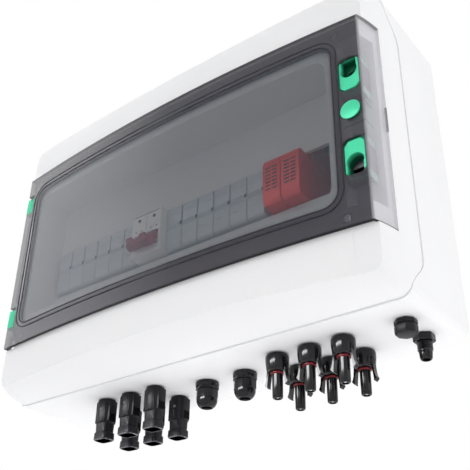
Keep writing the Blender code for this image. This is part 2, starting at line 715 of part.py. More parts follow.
def build_cover():
    """Build the front cover: bowed shell, window tub with the device slot, hinge channel and latch pocket."""
    cover = cover_loft("front_cover", 0.0)
    combine(cover, [behind_bow("cover_front_limit", BAND_EDGE_Y)], "INTERSECT")
    combine(cover, [before_seam("cover_back_limit", -CLEARANCE)], "INTERSECT")

    cavity = cover_loft("cover_cavity", WALL)
    combine(cavity, [behind_bow("cavity_front_limit", BAND_EDGE_Y + WALL)], "INTERSECT")
    tub_body = prism("tub_body", tub_outline(WALL), -BOX_DEPTH - WALL, TUB_FLOOR_Y + WALL, "Y")
    half_door = DOOR_HEIGHT / 2
    channel_low = (-FAR, -BOX_DEPTH, -half_door - CLEARANCE)
    channel_high = (CHANNEL_WALL_X, CHANNEL_FLOOR_Y, half_door + CLEARANCE)
    channel_body = box("channel_body", [a - WALL for a in channel_low], [a + WALL for a in channel_high])
    bosses = [rod(f"cover_boss_{index}", COVER_BOSS_RADIUS, BOX_DEPTH,
                  (x, COVER_BOSS_MEET_Y - CLEARANCE, z), "-Y") for index, (x, z) in enumerate(screw_places())]
    flange_body = flange_pocket("flange_body", FLANGE_THICKNESS + CLEARANCE + WALL)
    solid_inside = [tub_body, channel_body, latch_space("latch_pocket_body", WALL), flange_body] + bosses
    combine(cavity, solid_inside, "DIFFERENCE")

    recess = prism("tub_recess", tub_outline(0.0), -BOX_DEPTH - WALL, TUB_FLOOR_Y, "Y")
    slot_low = (SLOT_LEFT, TUB_FLOOR_Y - WALL, ROW_Z - NOSE_HALF_HEIGHT - SLOT_MARGIN)
    slot_high = (SLOT_RIGHT, TUB_FLOOR_Y + 2 * WALL, ROW_Z + NOSE_HALF_HEIGHT + SLOT_MARGIN)
    cuts = [cavity, recess, box("device_slot", slot_low, slot_high),
            flange_pocket("flange_pocket", FLANGE_THICKNESS + CLEARANCE),
            box("hinge_channel", channel_low, channel_high), latch_space("latch_pocket", 0.0)]
    for index, (x, z) in enumerate(screw_places()):
        head_y = screw_head_y(x)
        cuts.append(rod(f"cover_screw_bore_{index}", COVER_SCREW_RADIUS + CLEARANCE, BOX_DEPTH,
                        (x, COVER_BOSS_MEET_Y + WALL, z), "-Y", SMALL_SEGMENTS))
        cuts.append(rod(f"cover_screw_sink_{index}", COVER_SCREW_HEAD_RADIUS + CLEARANCE, BOX_DEPTH,
                        (x, head_y + CLEARANCE, z), "-Y"))
    combine(cover, cuts, "DIFFERENCE")
    return finish_part(cover, "white_abs")


def screw_head_y(x):
    """Return the Y of the underside of a cover screw's head."""
    return bow_y(x, BAND_EDGE_Y) + COVER_SCREW_SINK


def build_cover_screws():
    """Build the four long screws that pull the cover onto the base."""
    for index, (x, z) in enumerate(screw_places()):
        length = COVER_BOSS_MEET_Y + COVER_SCREW_BITE - screw_head_y(x)
        screw = turned(f"cover_screw_{index + 1}",
                       [(0.0, -length), (COVER_SCREW_RADIUS, -length),
                        (COVER_SCREW_RADIUS, 0.0), (COVER_SCREW_HEAD_RADIUS, 0.0),
                        (COVER_SCREW_HEAD_RADIUS, COVER_SCREW_HEAD - COVER_SCREW_CROWN),
                        (COVER_SCREW_HEAD_RADIUS - COVER_SCREW_CROWN, COVER_SCREW_HEAD),
                        (0.0, COVER_SCREW_HEAD)],
                       (x, screw_head_y(x), z), "-Y", SMALL_SEGMENTS)
        finish_part(screw, "zinc_steel")


def door_outline():
    """Return the (x, y) plan of the door: bowed front, right flange and short left lip."""
    inner_edge_y = DOOR_EDGE_Y + DOOR_THICKNESS
    outer = bow_line(-DOOR_HALF_WIDTH, DOOR_HALF_WIDTH, DOOR_EDGE_Y)
    steps = [step / SHOULDER_STEPS for step in range(1, SHOULDER_STEPS + 1)]
    flange = [(cover_half_width(y), y) for y in (DOOR_EDGE_Y + FLANGE_DEPTH * share for share in steps)]
    flange_inner = [(x - FLANGE_THICKNESS, y) for x, y in reversed(flange) if y > inner_edge_y + CLEARANCE]
    inner_right = cover_half_width(inner_edge_y) - FLANGE_THICKNESS
    inner = bow_line(inner_right, LIP_THICKNESS - DOOR_HALF_WIDTH, inner_edge_y)
    lip_y = HINGE_Y - (HINGE_LUG_RADIUS + HINGE_PIN_RADIUS + CLEARANCE) / 2
    lip = [(LIP_THICKNESS - DOOR_HALF_WIDTH, lip_y), (-DOOR_HALF_WIDTH, lip_y)]
    return outer + flange + flange_inner + inner + lip


def latch_window_outline(z):
    """Return the (x, z) outline of a latch window with chamfered corners."""
    half_width = LATCH_WINDOW_WIDTH / 2
    half_height = LATCH_WINDOW_HEIGHT / 2
    return rounded_outline(half_width, half_height, LATCH_WINDOW_CHAMFER, (LATCH_X, z), 1)


def seal_outline(grow):
    """Return the (x, z) outline of the door seal's centre line, grown all round."""
    return rounded_outline(SEAL_WIDTH / 2 + grow, SEAL_HEIGHT / 2 + grow, SEAL_RADIUS + grow,
                           (SEAL_X, 0.0))


def seal_ring(name, growth, front_edge_y, back_edge_y):
    """Return a strip that follows the door's bow between two depths."""
    half = SEAL_STRIP / 2 + growth
    ring = prism(name, seal_outline(half), -2 * BOX_DEPTH, BACK_WALL_Y, "Y")
    hollow = prism(name + "_hollow", seal_outline(-half), -3 * BOX_DEPTH, BOX_DEPTH, "Y")
    combine(ring, [hollow], "DIFFERENCE")
    combine(ring, [behind_bow(name + "_front", front_edge_y)], "INTERSECT")
    return combine(ring, [behind_bow(name + "_back", back_edge_y)], "DIFFERENCE")


def build_door():
    """Build the smoked door with its hinge lugs, latch windows, lock hole and seal groove."""
    half = DOOR_HEIGHT / 2
    door = prism("door", door_outline(), -half, half, "Z")
    bevel(door, DOOR_EDGE_BEVEL, 1, 50)
    lugs = []
    notches = []
    lug_half = HINGE_CLIP_LENGTH / 2 + CLEARANCE + HINGE_LUG_LENGTH
    lug_front = bow_y(HINGE_X, DOOR_EDGE_Y) + DOOR_THICKNESS / 2
    bore = HINGE_PIN_RADIUS + CLEARANCE
    lug_profile = [(bore, -lug_half), (HINGE_LUG_RADIUS, -lug_half), (HINGE_LUG_RADIUS, lug_half),
                   (bore, lug_half), (bore, -lug_half)]
    neck_half = lug_half - CLEARANCE
    for index, z in enumerate(HINGE_HEIGHTS):
        lugs.append(turned(f"hinge_lug_{index}", lug_profile, (HINGE_X, HINGE_Y, z), "Z"))
        lugs.append(box(f"hinge_neck_{index}", (HINGE_X - HINGE_LUG_RADIUS / 2, lug_front, z - neck_half),
                        (HINGE_X + HINGE_LUG_RADIUS - CLEARANCE, HINGE_Y - bore - CLEARANCE, z + neck_half)))
        half_notch = HINGE_CLIP_LENGTH / 2 + CLEARANCE
        notches.append(box(f"hinge_notch_{index}", (-FAR, -2 * BOX_DEPTH, z - half_notch),
                           (HINGE_X + HINGE_BARREL_RADIUS + CLEARANCE, 0.0, z + half_notch)))
    combine(door, lugs, "UNION")
    window_end = latch_front_y() + LATCH_WINDOW_REACH
    windows = [prism(f"latch_window_{index}", latch_window_outline(z), -2 * BOX_DEPTH, window_end, "Y")
               for index, z in enumerate((LATCH_Z, -LATCH_Z))]
    lock_hole = rod("lock_hole", lock_shank_radius() + CLEARANCE, BOX_DEPTH,
                    (LATCH_X, latch_back_y(), LOCK_Z), "-Y")
    groove = seal_ring("door_seal_groove", CLEARANCE, DOOR_EDGE_Y + DOOR_THICKNESS - SEAL_GROOVE,
                       DOOR_EDGE_Y + 2 * DOOR_THICKNESS)
    combine(door, notches + windows + [lock_hole, groove], "DIFFERENCE")
    return finish_part(door, "smoked_polycarbonate")


def build_door_seal():
    """Build the rubber seal in the groove of the door, pressed near the cover."""
    seal = seal_ring("door_seal", 0.0, DOOR_EDGE_Y + DOOR_THICKNESS - SEAL_GROOVE + CLEARANCE,
                     BAND_EDGE_Y - CLEARANCE)
    return finish_part(seal, "grey_rubber")


def build_hinge_clips():
    """Build the two hinge clips: a green barrel on a foot, with a pin at both ends for the door's lugs."""
    for name, z in zip(("hinge_clip_upper", "hinge_clip_lower"), HINGE_HEIGHTS):
        half = HINGE_CLIP_LENGTH / 2
        pin_half = half + CLEARANCE + HINGE_LUG_LENGTH
        edge = HINGE_CLIP_CHAMFER
        upper = [(HINGE_BARREL_RADIUS, half - edge), (HINGE_BARREL_RADIUS - edge, half),
                 (HINGE_PIN_RADIUS, half), (HINGE_PIN_RADIUS, pin_half), (0.0, pin_half)]
        lower = [(radius, -height) for radius, height in reversed(upper)]
        clip = turned(name, lower + upper, (HINGE_X, HINGE_Y, z), "Z", FINE_SEGMENTS)
        foot = box(name + "_foot", (HINGE_X - HINGE_FOOT_WIDTH / 2, HINGE_Y, z - half + JOIN),
                   (HINGE_X + HINGE_FOOT_WIDTH / 2, CHANNEL_FLOOR_Y - CLEARANCE, z + half - JOIN))
        combine(clip, [foot], "UNION")
        finish_part(clip, "green_nylon")


def build_latch(name, side):
    """Build one pinch latch: a slider behind the door, a pad in its window with a finger grip, and a tongue."""
    height = latch_plate_height()
    width = LATCH_WINDOW_WIDTH + 2 * LATCH_SIDE_MARGIN
    centre_z = side * LATCH_Z
    front_y = latch_front_y()
    back_y = front_y + LATCH_PLATE_DEPTH
    latch = box(name, (LATCH_X - width / 2, front_y, centre_z - height / 2),
                (LATCH_X + width / 2, back_y, centre_z + height / 2))
    bevel(latch, LATCH_EDGE, 2)
    tongue_half = LATCH_WINDOW_HEIGHT / 4
    tongue = box(name + "_tongue", (LATCH_X - width / 4, back_y - JOIN, centre_z - tongue_half),
                 (LATCH_X + width / 4, latch_back_y(), centre_z + tongue_half))
    pad_front = front_y - DOOR_THICKNESS
    pad_half = LATCH_WINDOW_WIDTH / 2 - CLEARANCE
    pad_ends = sorted((centre_z + side * (LATCH_WINDOW_HEIGHT / 2 - CLEARANCE),
                       centre_z - side * (LATCH_WINDOW_HEIGHT / 2 - CLEARANCE - LATCH_TRAVEL)))
    pad_outline = rounded_outline(pad_half, (pad_ends[1] - pad_ends[0]) / 2, LATCH_WINDOW_CHAMFER,
                                  (LATCH_X, (pad_ends[0] + pad_ends[1]) / 2), 1)
    pad = prism(name + "_pad", pad_outline, pad_front, front_y + JOIN, "Y")
    combine(latch, [tongue, pad], "UNION")
    grip_z = centre_z + side * (LATCH_WINDOW_HEIGHT / 2 - LATCH_GRIP_INSET)
    grip = rod(name + "_grip", LATCH_GRIP_RADIUS, LATCH_GRIP_DEPTH + JOIN,
               (LATCH_X, pad_front + LATCH_GRIP_DEPTH, grip_z), "-Y", FINE_SEGMENTS)
    mouth_ends = sorted((grip_z, centre_z + side * LATCH_WINDOW_HEIGHT / 2))
    mouth_half = LATCH_GRIP_RADIUS - JOIN / 2
    mouth = box(name + "_mouth", (LATCH_X - mouth_half, pad_front - JOIN, mouth_ends[0]),
                (LATCH_X + mouth_half, pad_front + LATCH_GRIP_DEPTH - JOIN / 2, mouth_ends[1]))
    combine(latch, [grip, mouth], "DIFFERENCE")
    return finish_part(latch, "green_nylon")


def lock_shank_radius():
    """Return the radius of the lock cap's shank in the door."""
    return LOCK_RADIUS - LOCK_RIM


def build_lock_cap():
    """Build the green cap that plugs the lock hole of the door."""
    face_y = bow_y(LATCH_X - LOCK_RADIUS, DOOR_EDGE_Y) - CLEARANCE
    shank = lock_shank_radius()
    cap = turned("lock_cap", [(0.0, -LOCK_SHANK), (shank, -LOCK_SHANK), (shank, 0.0), (LOCK_RADIUS, 0.0),
                              (LOCK_RADIUS, LOCK_PROUD / 2), (LOCK_RADIUS - LOCK_PROUD, LOCK_PROUD),
                              (0.0, LOCK_PROUD)], (LATCH_X, face_y, LOCK_Z), "-Y", FINE_SEGMENTS)
    return finish_part(cap, "green_nylon")


def build_rail():
    """Build the top-hat rail and the two brackets that carry it off the back wall."""
    back_y = RAIL_FRONT_Y + RAIL_DEPTH
    half = RAIL_HEIGHT / 2
    channel = RAIL_CHANNEL_HEIGHT / 2
    inner = channel - RAIL_SHEET
    brim_y = RAIL_FRONT_Y + RAIL_SHEET
    floor_y = back_y - RAIL_SHEET
    upper = [(back_y, channel), (brim_y, channel), (brim_y, half), (RAIL_FRONT_Y, half), (RAIL_FRONT_Y, inner),
             (floor_y, inner)]
    outline = upper + [(y, -z) for y, z in reversed(upper)]
    left = SLOT_LEFT - RAIL_OVERHANG
    right = SLOT_RIGHT + RAIL_OVERHANG
    rail = prism("din_rail", [(y, z + ROW_Z) for y, z in outline], left, right, "X")
    finish_part(rail, "zinc_steel")
    brackets = (("rail_bracket_left", left + BRACKET_INSET), ("rail_bracket_right", right - BRACKET_INSET))
    for name, middle in brackets:
        bracket = box(name, (middle - BRACKET_WIDTH / 2, back_y + CLEARANCE, ROW_Z - BRACKET_HEIGHT / 2),
                      (middle + BRACKET_WIDTH / 2, BACK_WALL_Y - CLEARANCE, ROW_Z + BRACKET_HEIGHT / 2))
        bevel(bracket, BRACKET_EDGE, 2)
        finish_part(bracket, "zinc_steel")


def device_back_points():
    """Return the (y, z) points of a rail device's back, from its lower to its upper shoulder."""
    hook = RAIL_HEIGHT / 2 + CLEARANCE
    upper = [(DEVICE_SEAT_Y, hook), (DEVICE_BACK_Y, hook), (DEVICE_BACK_Y, DEVICE_HALF_HEIGHT),
             (DEVICE_SHOULDER_Y, DEVICE_HALF_HEIGHT)]
    return [(y, -z) for y, z in reversed(upper)] + upper


def device(name, nose, left, modules):
    """Return a rail device whose side outline is the common back plus the points of its nose."""
    outline = [(y, z + ROW_Z) for y, z in device_back_points() + nose]
    return prism(name, outline, left + MODULE_GAP / 2, left + modules * MODULE - MODULE_GAP / 2, "X")


def build_fuse_holders():
    """Build the two-pole fuse holders and a hinged fuse carrier for every pole."""
    nose_y = DEVICE_SHOULDER_Y - FUSE_BODY_NOSE
    nose = [(DEVICE_SHOULDER_Y, NOSE_HALF_HEIGHT), (nose_y, NOSE_HALF_HEIGHT),
            (nose_y, -NOSE_HALF_HEIGHT), (DEVICE_SHOULDER_Y, -NOSE_HALF_HEIGHT)]
    carrier_back = nose_y - CARRIER_GAP
    pivot_y = FUSE_FRONT_Y + CARRIER_PIVOT_INSET
    pivot_z = -NOSE_HALF_HEIGHT + CARRIER_PIVOT_INSET
    heel = [(pivot_y - CARRIER_PIVOT_INSET * math.cos(angle), pivot_z - CARRIER_PIVOT_INSET * math.sin(angle))
            for angle in (step * math.pi / 2 / CORNER_STEPS for step in range(CORNER_STEPS + 1))]
    carrier_outline = [(carrier_back, NOSE_HALF_HEIGHT), (FUSE_FRONT_Y + CARRIER_GROOVE, NOSE_HALF_HEIGHT),
                       (FUSE_FRONT_Y, NOSE_HALF_HEIGHT - CARRIER_GROOVE), (FUSE_FRONT_Y, CARRIER_GROOVE),
                       (FUSE_FRONT_Y + CARRIER_GROOVE, 0.0), (FUSE_FRONT_Y, -CARRIER_GROOVE)]
    carrier_outline += heel + [(carrier_back, -NOSE_HALF_HEIGHT)]
    for bank, bank_left in (("left", ROW_LEFT), ("right", RIGHT_BANK_LEFT)):
        for number in range(HOLDERS_PER_BANK):
            left = bank_left + number * HOLDER_WIDTH
            body = device(f"fuse_holder_{bank}_{number + 1}", nose, left, POLES_PER_HOLDER)
            bevel(body, DEVICE_EDGE, 1)
            finish_part(body, "device_grey")
        for number in range(FUSES_PER_BANK):
            left = bank_left + number * MODULE
            carrier = prism(f"fuse_carrier_{bank}_{number + 1}", [(y, z + ROW_Z) for y, z in carrier_outline],
                            left + MODULE_GAP / 2, left + MODULE - MODULE_GAP / 2, "X")
            bevel(carrier, DEVICE_EDGE, 1)
            finish_part(carrier, "device_grey")
            pivot = (left + MODULE / 2, pivot_y, pivot_z + ROW_Z)
            add_pivot(f"fuse_carrier_{bank}_{number + 1}_axis", pivot, [carrier])


def toggle_axis():
    """Return the (y, z) of the breaker toggle's axis."""
    return BREAKER_FRONT_Y + TOGGLE_HUB_RADIUS / 2, ROW_Z - TOGGLE_DROP


def build_breaker():
    """Build the main breaker and its toggle, which rests in the lower, off position."""
    nose = [(DEVICE_SHOULDER_Y, NOSE_HALF_HEIGHT), (BREAKER_FRONT_Y, NOSE_HALF_HEIGHT),
            (BREAKER_FRONT_Y, -NOSE_HALF_HEIGHT), (DEVICE_SHOULDER_Y, -NOSE_HALF_HEIGHT)]
    body = device("breaker_body", nose, BREAKER_LEFT, BREAKER_MODULES)
    bevel(body, DEVICE_EDGE, 2)
    axis_y, axis_z = toggle_axis()
    left = BREAKER_LEFT + TOGGLE_SIDE_MARGIN
    right = BREAKER_LEFT + BREAKER_MODULES * MODULE - TOGGLE_SIDE_MARGIN
    pocket = rod("toggle_pocket", TOGGLE_HUB_RADIUS + TOGGLE_POCKET_MARGIN, right - left + 2 * CLEARANCE,
                 (left - CLEARANCE, axis_y, axis_z), "X")
    combine(body, [pocket], "DIFFERENCE")
    finish_part(body, "device_white")
    toggle = rod("breaker_toggle", TOGGLE_HUB_RADIUS, right - left, (left, axis_y, axis_z), "X")
    rest = math.radians(TOGGLE_REST_DEG)
    reach = TOGGLE_HUB_RADIUS + TOGGLE_LEVER
    along = (-math.cos(rest), -math.sin(rest))
    across = (-along[1] * TOGGLE_THICKNESS / 2, along[0] * TOGGLE_THICKNESS / 2)
    lever_outline = []
    for distance, side in ((0.0, 1), (reach, TOGGLE_TIP_SHARE), (reach, -TOGGLE_TIP_SHARE), (0.0, -1)):
        lever_outline.append((axis_y + along[0] * distance + side * across[0],
                              axis_z + along[1] * distance + side * across[1]))
    lever = prism("toggle_lever", lever_outline, left, right, "X")
    combine(toggle, [lever], "UNION")
    finish_part(toggle, "handle_red")


def build_surge_arrester():
    """Build the surge arrester: a base on the rail and one plug-in cartridge for each pole."""
    well_y = SURGE_FRONT_Y + SURGE_PLUG_DEPTH
    well_half = NOSE_HALF_HEIGHT + CLEARANCE
    nose = [(DEVICE_SHOULDER_Y, well_half), (well_y + CLEARANCE, well_half),
            (well_y + CLEARANCE, -well_half), (DEVICE_SHOULDER_Y, -well_half)]
    base = bevel(device("surge_base", nose, SURGE_LEFT, SURGE_MODULES), DEVICE_EDGE, 1)
    finish_part(base, "surge_red")
    slope_y = SURGE_FRONT_Y + SURGE_CHAMFER / 2
    upper = [(well_y, NOSE_HALF_HEIGHT), (slope_y, NOSE_HALF_HEIGHT),
             (SURGE_FRONT_Y, NOSE_HALF_HEIGHT - SURGE_CHAMFER)]
    outline = upper + [(y, -z) for y, z in reversed(upper)]
    for number in range(SURGE_MODULES):
        left = SURGE_LEFT + number * MODULE
        cartridge = prism(f"surge_cartridge_{number + 1}", [(y, z + ROW_Z) for y, z in outline],
                          left + MODULE_GAP / 2, left + MODULE - MODULE_GAP / 2, "X")
        bevel(cartridge, DEVICE_EDGE, 1)
        finish_part(cartridge, "surge_red")


def build_bars():
    """Build the busbar under the right fuse bank and the earth bar on the back wall."""
    top = ROW_Z - DEVICE_HALF_HEIGHT - CLEARANCE
    busbar = box("string_busbar", (RIGHT_BANK_LEFT, BUSBAR_Y - BUSBAR_DEPTH / 2, top - BUSBAR_THICKNESS),
                 (RIGHT_BANK_LEFT + FUSES_PER_BANK * MODULE, BUSBAR_Y + BUSBAR_DEPTH / 2, top))
    finish_part(busbar, "copper")
    left = EARTH_BAR_X - EARTH_BAR_LENGTH / 2
    front_y = BACK_WALL_Y - CLEARANCE - EARTH_BAR_DEPTH
    bar = box("earth_bar", (left, front_y, EARTH_BAR_Z - EARTH_BAR_HEIGHT / 2),
              (left + EARTH_BAR_LENGTH, BACK_WALL_Y - CLEARANCE, EARTH_BAR_Z + EARTH_BAR_HEIGHT / 2))
    pitch = EARTH_BAR_LENGTH / EARTH_SCREWS
    heads = [rod(f"earth_screw_{index}", EARTH_SCREW_RADIUS, EARTH_SCREW_HEAD + JOIN,
                 (left + (index + 0.5) * pitch, front_y + JOIN, EARTH_BAR_Z), "-Y", SMALL_SEGMENTS)
             for index in range(EARTH_SCREWS)]
    combine(bar, heads, "UNION")
    finish_part(bar, "brass")


def shank_profile(shank_radius, nut_radius):
    """Return the profile of a shank through the bottom wall with its nut inside, from the nut's top down."""
    nut_bottom = -WALL - CLEARANCE
    nut_top = nut_bottom - PV_NUT_HEIGHT
    return [(0.0, nut_top), (nut_radius, nut_top), (nut_radius, nut_bottom), (shank_radius, nut_bottom),
            (shank_radius, CLEARANCE)]


def collar_profile(radius, length):
    """Return the profile of a connector's round collar below the bottom wall."""
    return [(radius - COLLAR_FOOT_INSET, CLEARANCE),
            (radius - COLLAR_SHOULDER_INSET, COLLAR_FOOT_RISE + CLEARANCE),
            (radius, COLLAR_SHOULDER_RISE + CLEARANCE), (radius, length - COLLAR_EDGE),
            (radius - COLLAR_EDGE, length)]


def build_socket(name, x, y):
    """Build a panel socket: round collar, square neck with side notches and a flared mouth."""
    profile = shank_profile(PV_SHANK_RADIUS, PV_NUT_RADIUS)
    profile += collar_profile(SOCKET_COLLAR_RADIUS, SOCKET_COLLAR_LENGTH) + [(0.0, SOCKET_COLLAR_LENGTH)]
    body = turned(name, profile, (x, y, BOTTOM_Z), "-Z")
    neck_half = SOCKET_NECK / 2
    mouth_half = SOCKET_MOUTH / 2
    end_z = BOTTOM_Z - SOCKET_LENGTH
    neck_top = BOTTOM_Z - SOCKET_COLLAR_LENGTH + SOCKET_NECK_OVERLAP
    neck = prism(name + "_neck", rounded_outline(neck_half, neck_half, SOCKET_NECK_RADIUS, (x, y), 2),
                 end_z + JOIN, neck_top, "Z")
    mouth = prism(name + "_mouth", rounded_outline(mouth_half, mouth_half, SOCKET_MOUTH_RADIUS, (x, y), 2),
                  end_z, end_z + SOCKET_MOUTH_LENGTH, "Z")
    bevel(mouth, SOCKET_MOUTH_EDGE, 1)
    combine(body, [neck, mouth], "UNION")
    bore = rod(name + "_bore", SOCKET_BORE_RADIUS, SOCKET_BORE_DEPTH, (x, y, end_z - JOIN), "Z")
    notches = []
    for index, side in enumerate((-1, 1)):
        notch_x = x + side * mouth_half
        notches.append(box(f"{name}_notch_{index}", (notch_x - JOIN, y - SOCKET_NOTCH / 2, end_z - JOIN),
                           (notch_x + JOIN, y + SOCKET_NOTCH / 2, end_z + SOCKET_MOUTH_LENGTH + JOIN)))
    combine(body, [bore] + notches, "DIFFERENCE")
    return finish_part(body, "black_nylon")


def build_plug(name, x, y):
    """Build a panel plug: round collar, seal seat, pin sleeve and two latch arms."""
    seat_end = PLUG_COLLAR_LENGTH + PLUG_SEAT_LENGTH
    bore_end = PLUG_LENGTH - PLUG_BORE_DEPTH
    profile = shank_profile(PV_SHANK_RADIUS, PV_NUT_RADIUS)
    profile += collar_profile(PLUG_COLLAR_RADIUS, PLUG_COLLAR_LENGTH)
    profile += [(PLUG_SEAT_RADIUS, PLUG_COLLAR_LENGTH), (PLUG_SEAT_RADIUS, seat_end),
                (PLUG_SLEEVE_RADIUS, seat_end + COLLAR_EDGE),
                (PLUG_SLEEVE_RADIUS, PLUG_LENGTH - PLUG_SLEEVE_EDGE),
                (PLUG_SLEEVE_RADIUS - PLUG_SLEEVE_EDGE, PLUG_LENGTH), (PLUG_BORE_RADIUS, PLUG_LENGTH),
                (PLUG_BORE_RADIUS, bore_end), (0.0, bore_end)]
    body = turned(name, profile, (x, y, BOTTOM_Z), "-Z")
    root_z = BOTTOM_Z - PLUG_COLLAR_LENGTH
    tip_z = root_z - PLUG_ARM_LENGTH
    outer = PLUG_COLLAR_RADIUS - PLUG_ARM_INSET
    inner = outer - PLUG_ARM_THICKNESS
    barb_z = tip_z + PLUG_ARM_BARB
    outline = [(inner, root_z + JOIN), (outer, root_z + JOIN), (outer, barb_z + PLUG_ARM_BARB),
               (outer + PLUG_ARM_BARB, barb_z), (outer - PLUG_ARM_BARB / 2, tip_z), (inner, barb_z)]
    arms = [prism(f"{name}_arm_{index}", [(x + side * u, v) for u, v in outline],
                  y - PLUG_ARM_WIDTH / 2, y + PLUG_ARM_WIDTH / 2, "Y") for index, side in enumerate((-1, 1))]
    combine(body, arms, "UNION")
    return finish_part(body, "black_nylon")


def build_connectors():
    """Build the sockets on the left and the plugs on the right of the bottom wall."""
    for index, (x, y) in enumerate(connector_places(SOCKET_FIRST_X)):
        build_socket(f"pv_socket_{index + 1}", x, y)
    for index, (x, y) in enumerate(connector_places(PLUG_FIRST_X)):
        build_plug(f"pv_plug_{index + 1}", x, y)


def build_gland(name, nut_name, x):
    """Build one cable gland: the body through the wall and the dome nut that turns on its neck."""
    place = (x, GLAND_Y, BOTTOM_Z)
    neck_end = GLAND_HEX_HEIGHT + GLAND_NECK_LENGTH
    outside = shank_profile(GLAND_SHANK_RADIUS, GLAND_HEX_RADIUS)[1:]
    outside += [(GLAND_NECK_RADIUS, CLEARANCE), (GLAND_NECK_RADIUS, neck_end), (GLAND_BORE_RADIUS, neck_end)]
    nut_top = outside[0][1]
    body = turned(name, outside + [(GLAND_BORE_RADIUS, nut_top), outside[0]], place, "-Z")
    hex_inner = GLAND_NECK_RADIUS - JOIN
    hexagon = turned(name + "_hex", [(hex_inner, CLEARANCE), (GLAND_HEX_RADIUS, CLEARANCE),
                                     (GLAND_HEX_RADIUS, GLAND_HEX_HEIGHT), (hex_inner, GLAND_HEX_HEIGHT),
                                     (hex_inner, CLEARANCE)], place, "-Z", HEX_SIDES)
    combine(body, [hexagon], "UNION")
    finish_part(body, "black_nylon")
    start = GLAND_HEX_HEIGHT + CLEARANCE
    inner = GLAND_NECK_RADIUS + CLEARANCE
    step = neck_end + CLEARANCE
    dome = [(GLAND_NUT_RADIUS - inset, start + rise) for inset, rise in GLAND_DOME_STEPS]
    nut_profile = [(inner, start), (GLAND_NUT_RADIUS, start)] + dome
    nut_profile += [(GLAND_BORE_RADIUS, dome[-1][1]), (GLAND_BORE_RADIUS, step), (inner, step), (inner, start)]
    nut = turned(nut_name, nut_profile, place, "-Z", ROUND_SEGMENTS)
    half = GLAND_RIB_WIDTH / 2
    ribs = []
    for index in range(GLAND_RIBS):
        angle = math.tau * index / GLAND_RIBS
        rib = box(f"{nut_name}_rib_{index}", (-half, -half, 0.0), (half, half, GLAND_RIB_LENGTH))
        rib.location = (x + GLAND_NUT_RADIUS * math.cos(angle), GLAND_Y + GLAND_NUT_RADIUS * math.sin(angle),
                        BOTTOM_Z - start - GLAND_RIB_START - GLAND_RIB_LENGTH / 2)
        rib.rotation_euler = (0, 0, angle)
        ribs.append(rib)
    combine(nut, ribs, "UNION")
    finish_part(nut, "black_nylon")


def build_vent():
    """Build the eight-sided vent plug with a slot line round it."""
    place = (VENT_X, VENT_Y, BOTTOM_Z)
    shank_end = CLEARANCE + JOIN
    profile = shank_profile(VENT_SHANK_RADIUS, VENT_RADIUS - VENT_NUT_INSET)
    profile += [(VENT_SHANK_RADIUS, shank_end), (0.0, shank_end)]
    vent = turned("vent_plug", profile, place, "-Z")
    cap_profile = [(0.0, CLEARANCE), (VENT_RADIUS, CLEARANCE), (VENT_RADIUS, VENT_HEIGHT - VENT_EDGE),
                   (VENT_RADIUS - VENT_EDGE, VENT_HEIGHT), (0.0, VENT_HEIGHT)]
    cap = turned("vent_cap", cap_profile, place, "-Z", VENT_SIDES)
    slot_inner = VENT_RADIUS - VENT_SLOT_DEPTH
    slot_outer = 2 * VENT_RADIUS
    slot_end = VENT_SLOT_DROP + VENT_SLOT_WIDTH
    slot_profile = [(slot_inner, VENT_SLOT_DROP), (slot_outer, VENT_SLOT_DROP), (slot_outer, slot_end),
                    (slot_inner, slot_end), (slot_inner, VENT_SLOT_DROP)]
    slot = turned("vent_slot", slot_profile, place, "-Z", VENT_SIDES)
    combine(vent, [cap], "UNION")
    combine(vent, [slot], "DIFFERENCE")
    finish_part(vent, "black_nylon")


def build_earth_gland():
    """Build the small earth gland with its clamping fingers."""
    place = (VENT_X, EARTH_GLAND_Y, BOTTOM_Z)
    thread = EARTH_GLAND_THREAD_RADIUS
    thread_end = EARTH_GLAND_HEX_HEIGHT + EARTH_GLAND_THREAD_LENGTH
    tip_end = thread_end + EARTH_GLAND_TIP_LENGTH
    tip = thread - EARTH_GLAND_TIP_STEP
    profile = shank_profile(thread, EARTH_GLAND_HEX_RADIUS)
    profile += [(thread, thread_end), (tip, thread_end + EARTH_GLAND_TIP_SLOPE),
                (tip - EARTH_GLAND_TIP_TAPER, tip_end), (0.0, tip_end)]
    gland = turned("earth_gland", profile, place, "-Z")
    hex_radius = EARTH_GLAND_HEX_RADIUS
    hexagon = turned("earth_gland_hex", [(0.0, CLEARANCE), (hex_radius, CLEARANCE),
                                         (hex_radius, EARTH_GLAND_HEX_HEIGHT), (0.0, EARTH_GLAND_HEX_HEIGHT)],
                     place, "-Z", HEX_SIDES)
    combine(gland, [hexagon], "UNION")
    slit_length = EARTH_GLAND_TIP_LENGTH * EARTH_GLAND_SLIT_SHARE
    slits = []
    for index in range(EARTH_GLAND_SLITS):
        angle = math.tau * (index + 0.5) / EARTH_GLAND_SLITS
        slit = box(f"earth_gland_slit_{index}", (0.0, 0.0, 0.0),
                   (2 * thread, EARTH_GLAND_SLIT, slit_length + JOIN))
        slit.location = (VENT_X + thread * math.cos(angle), EARTH_GLAND_Y + thread * math.sin(angle),
                         BOTTOM_Z - tip_end + (slit_length - JOIN) / 2)
        slit.rotation_euler = (0, 0, angle)
        slits.append(slit)
    bore = rod("earth_gland_bore", EARTH_GLAND_BORE_RADIUS, tip_end,
               (VENT_X, EARTH_GLAND_Y, BOTTOM_Z - tip_end - JOIN), "Z")
    combine(gland, [bore] + slits, "DIFFERENCE")
    finish_part(gland, "black_nylon")


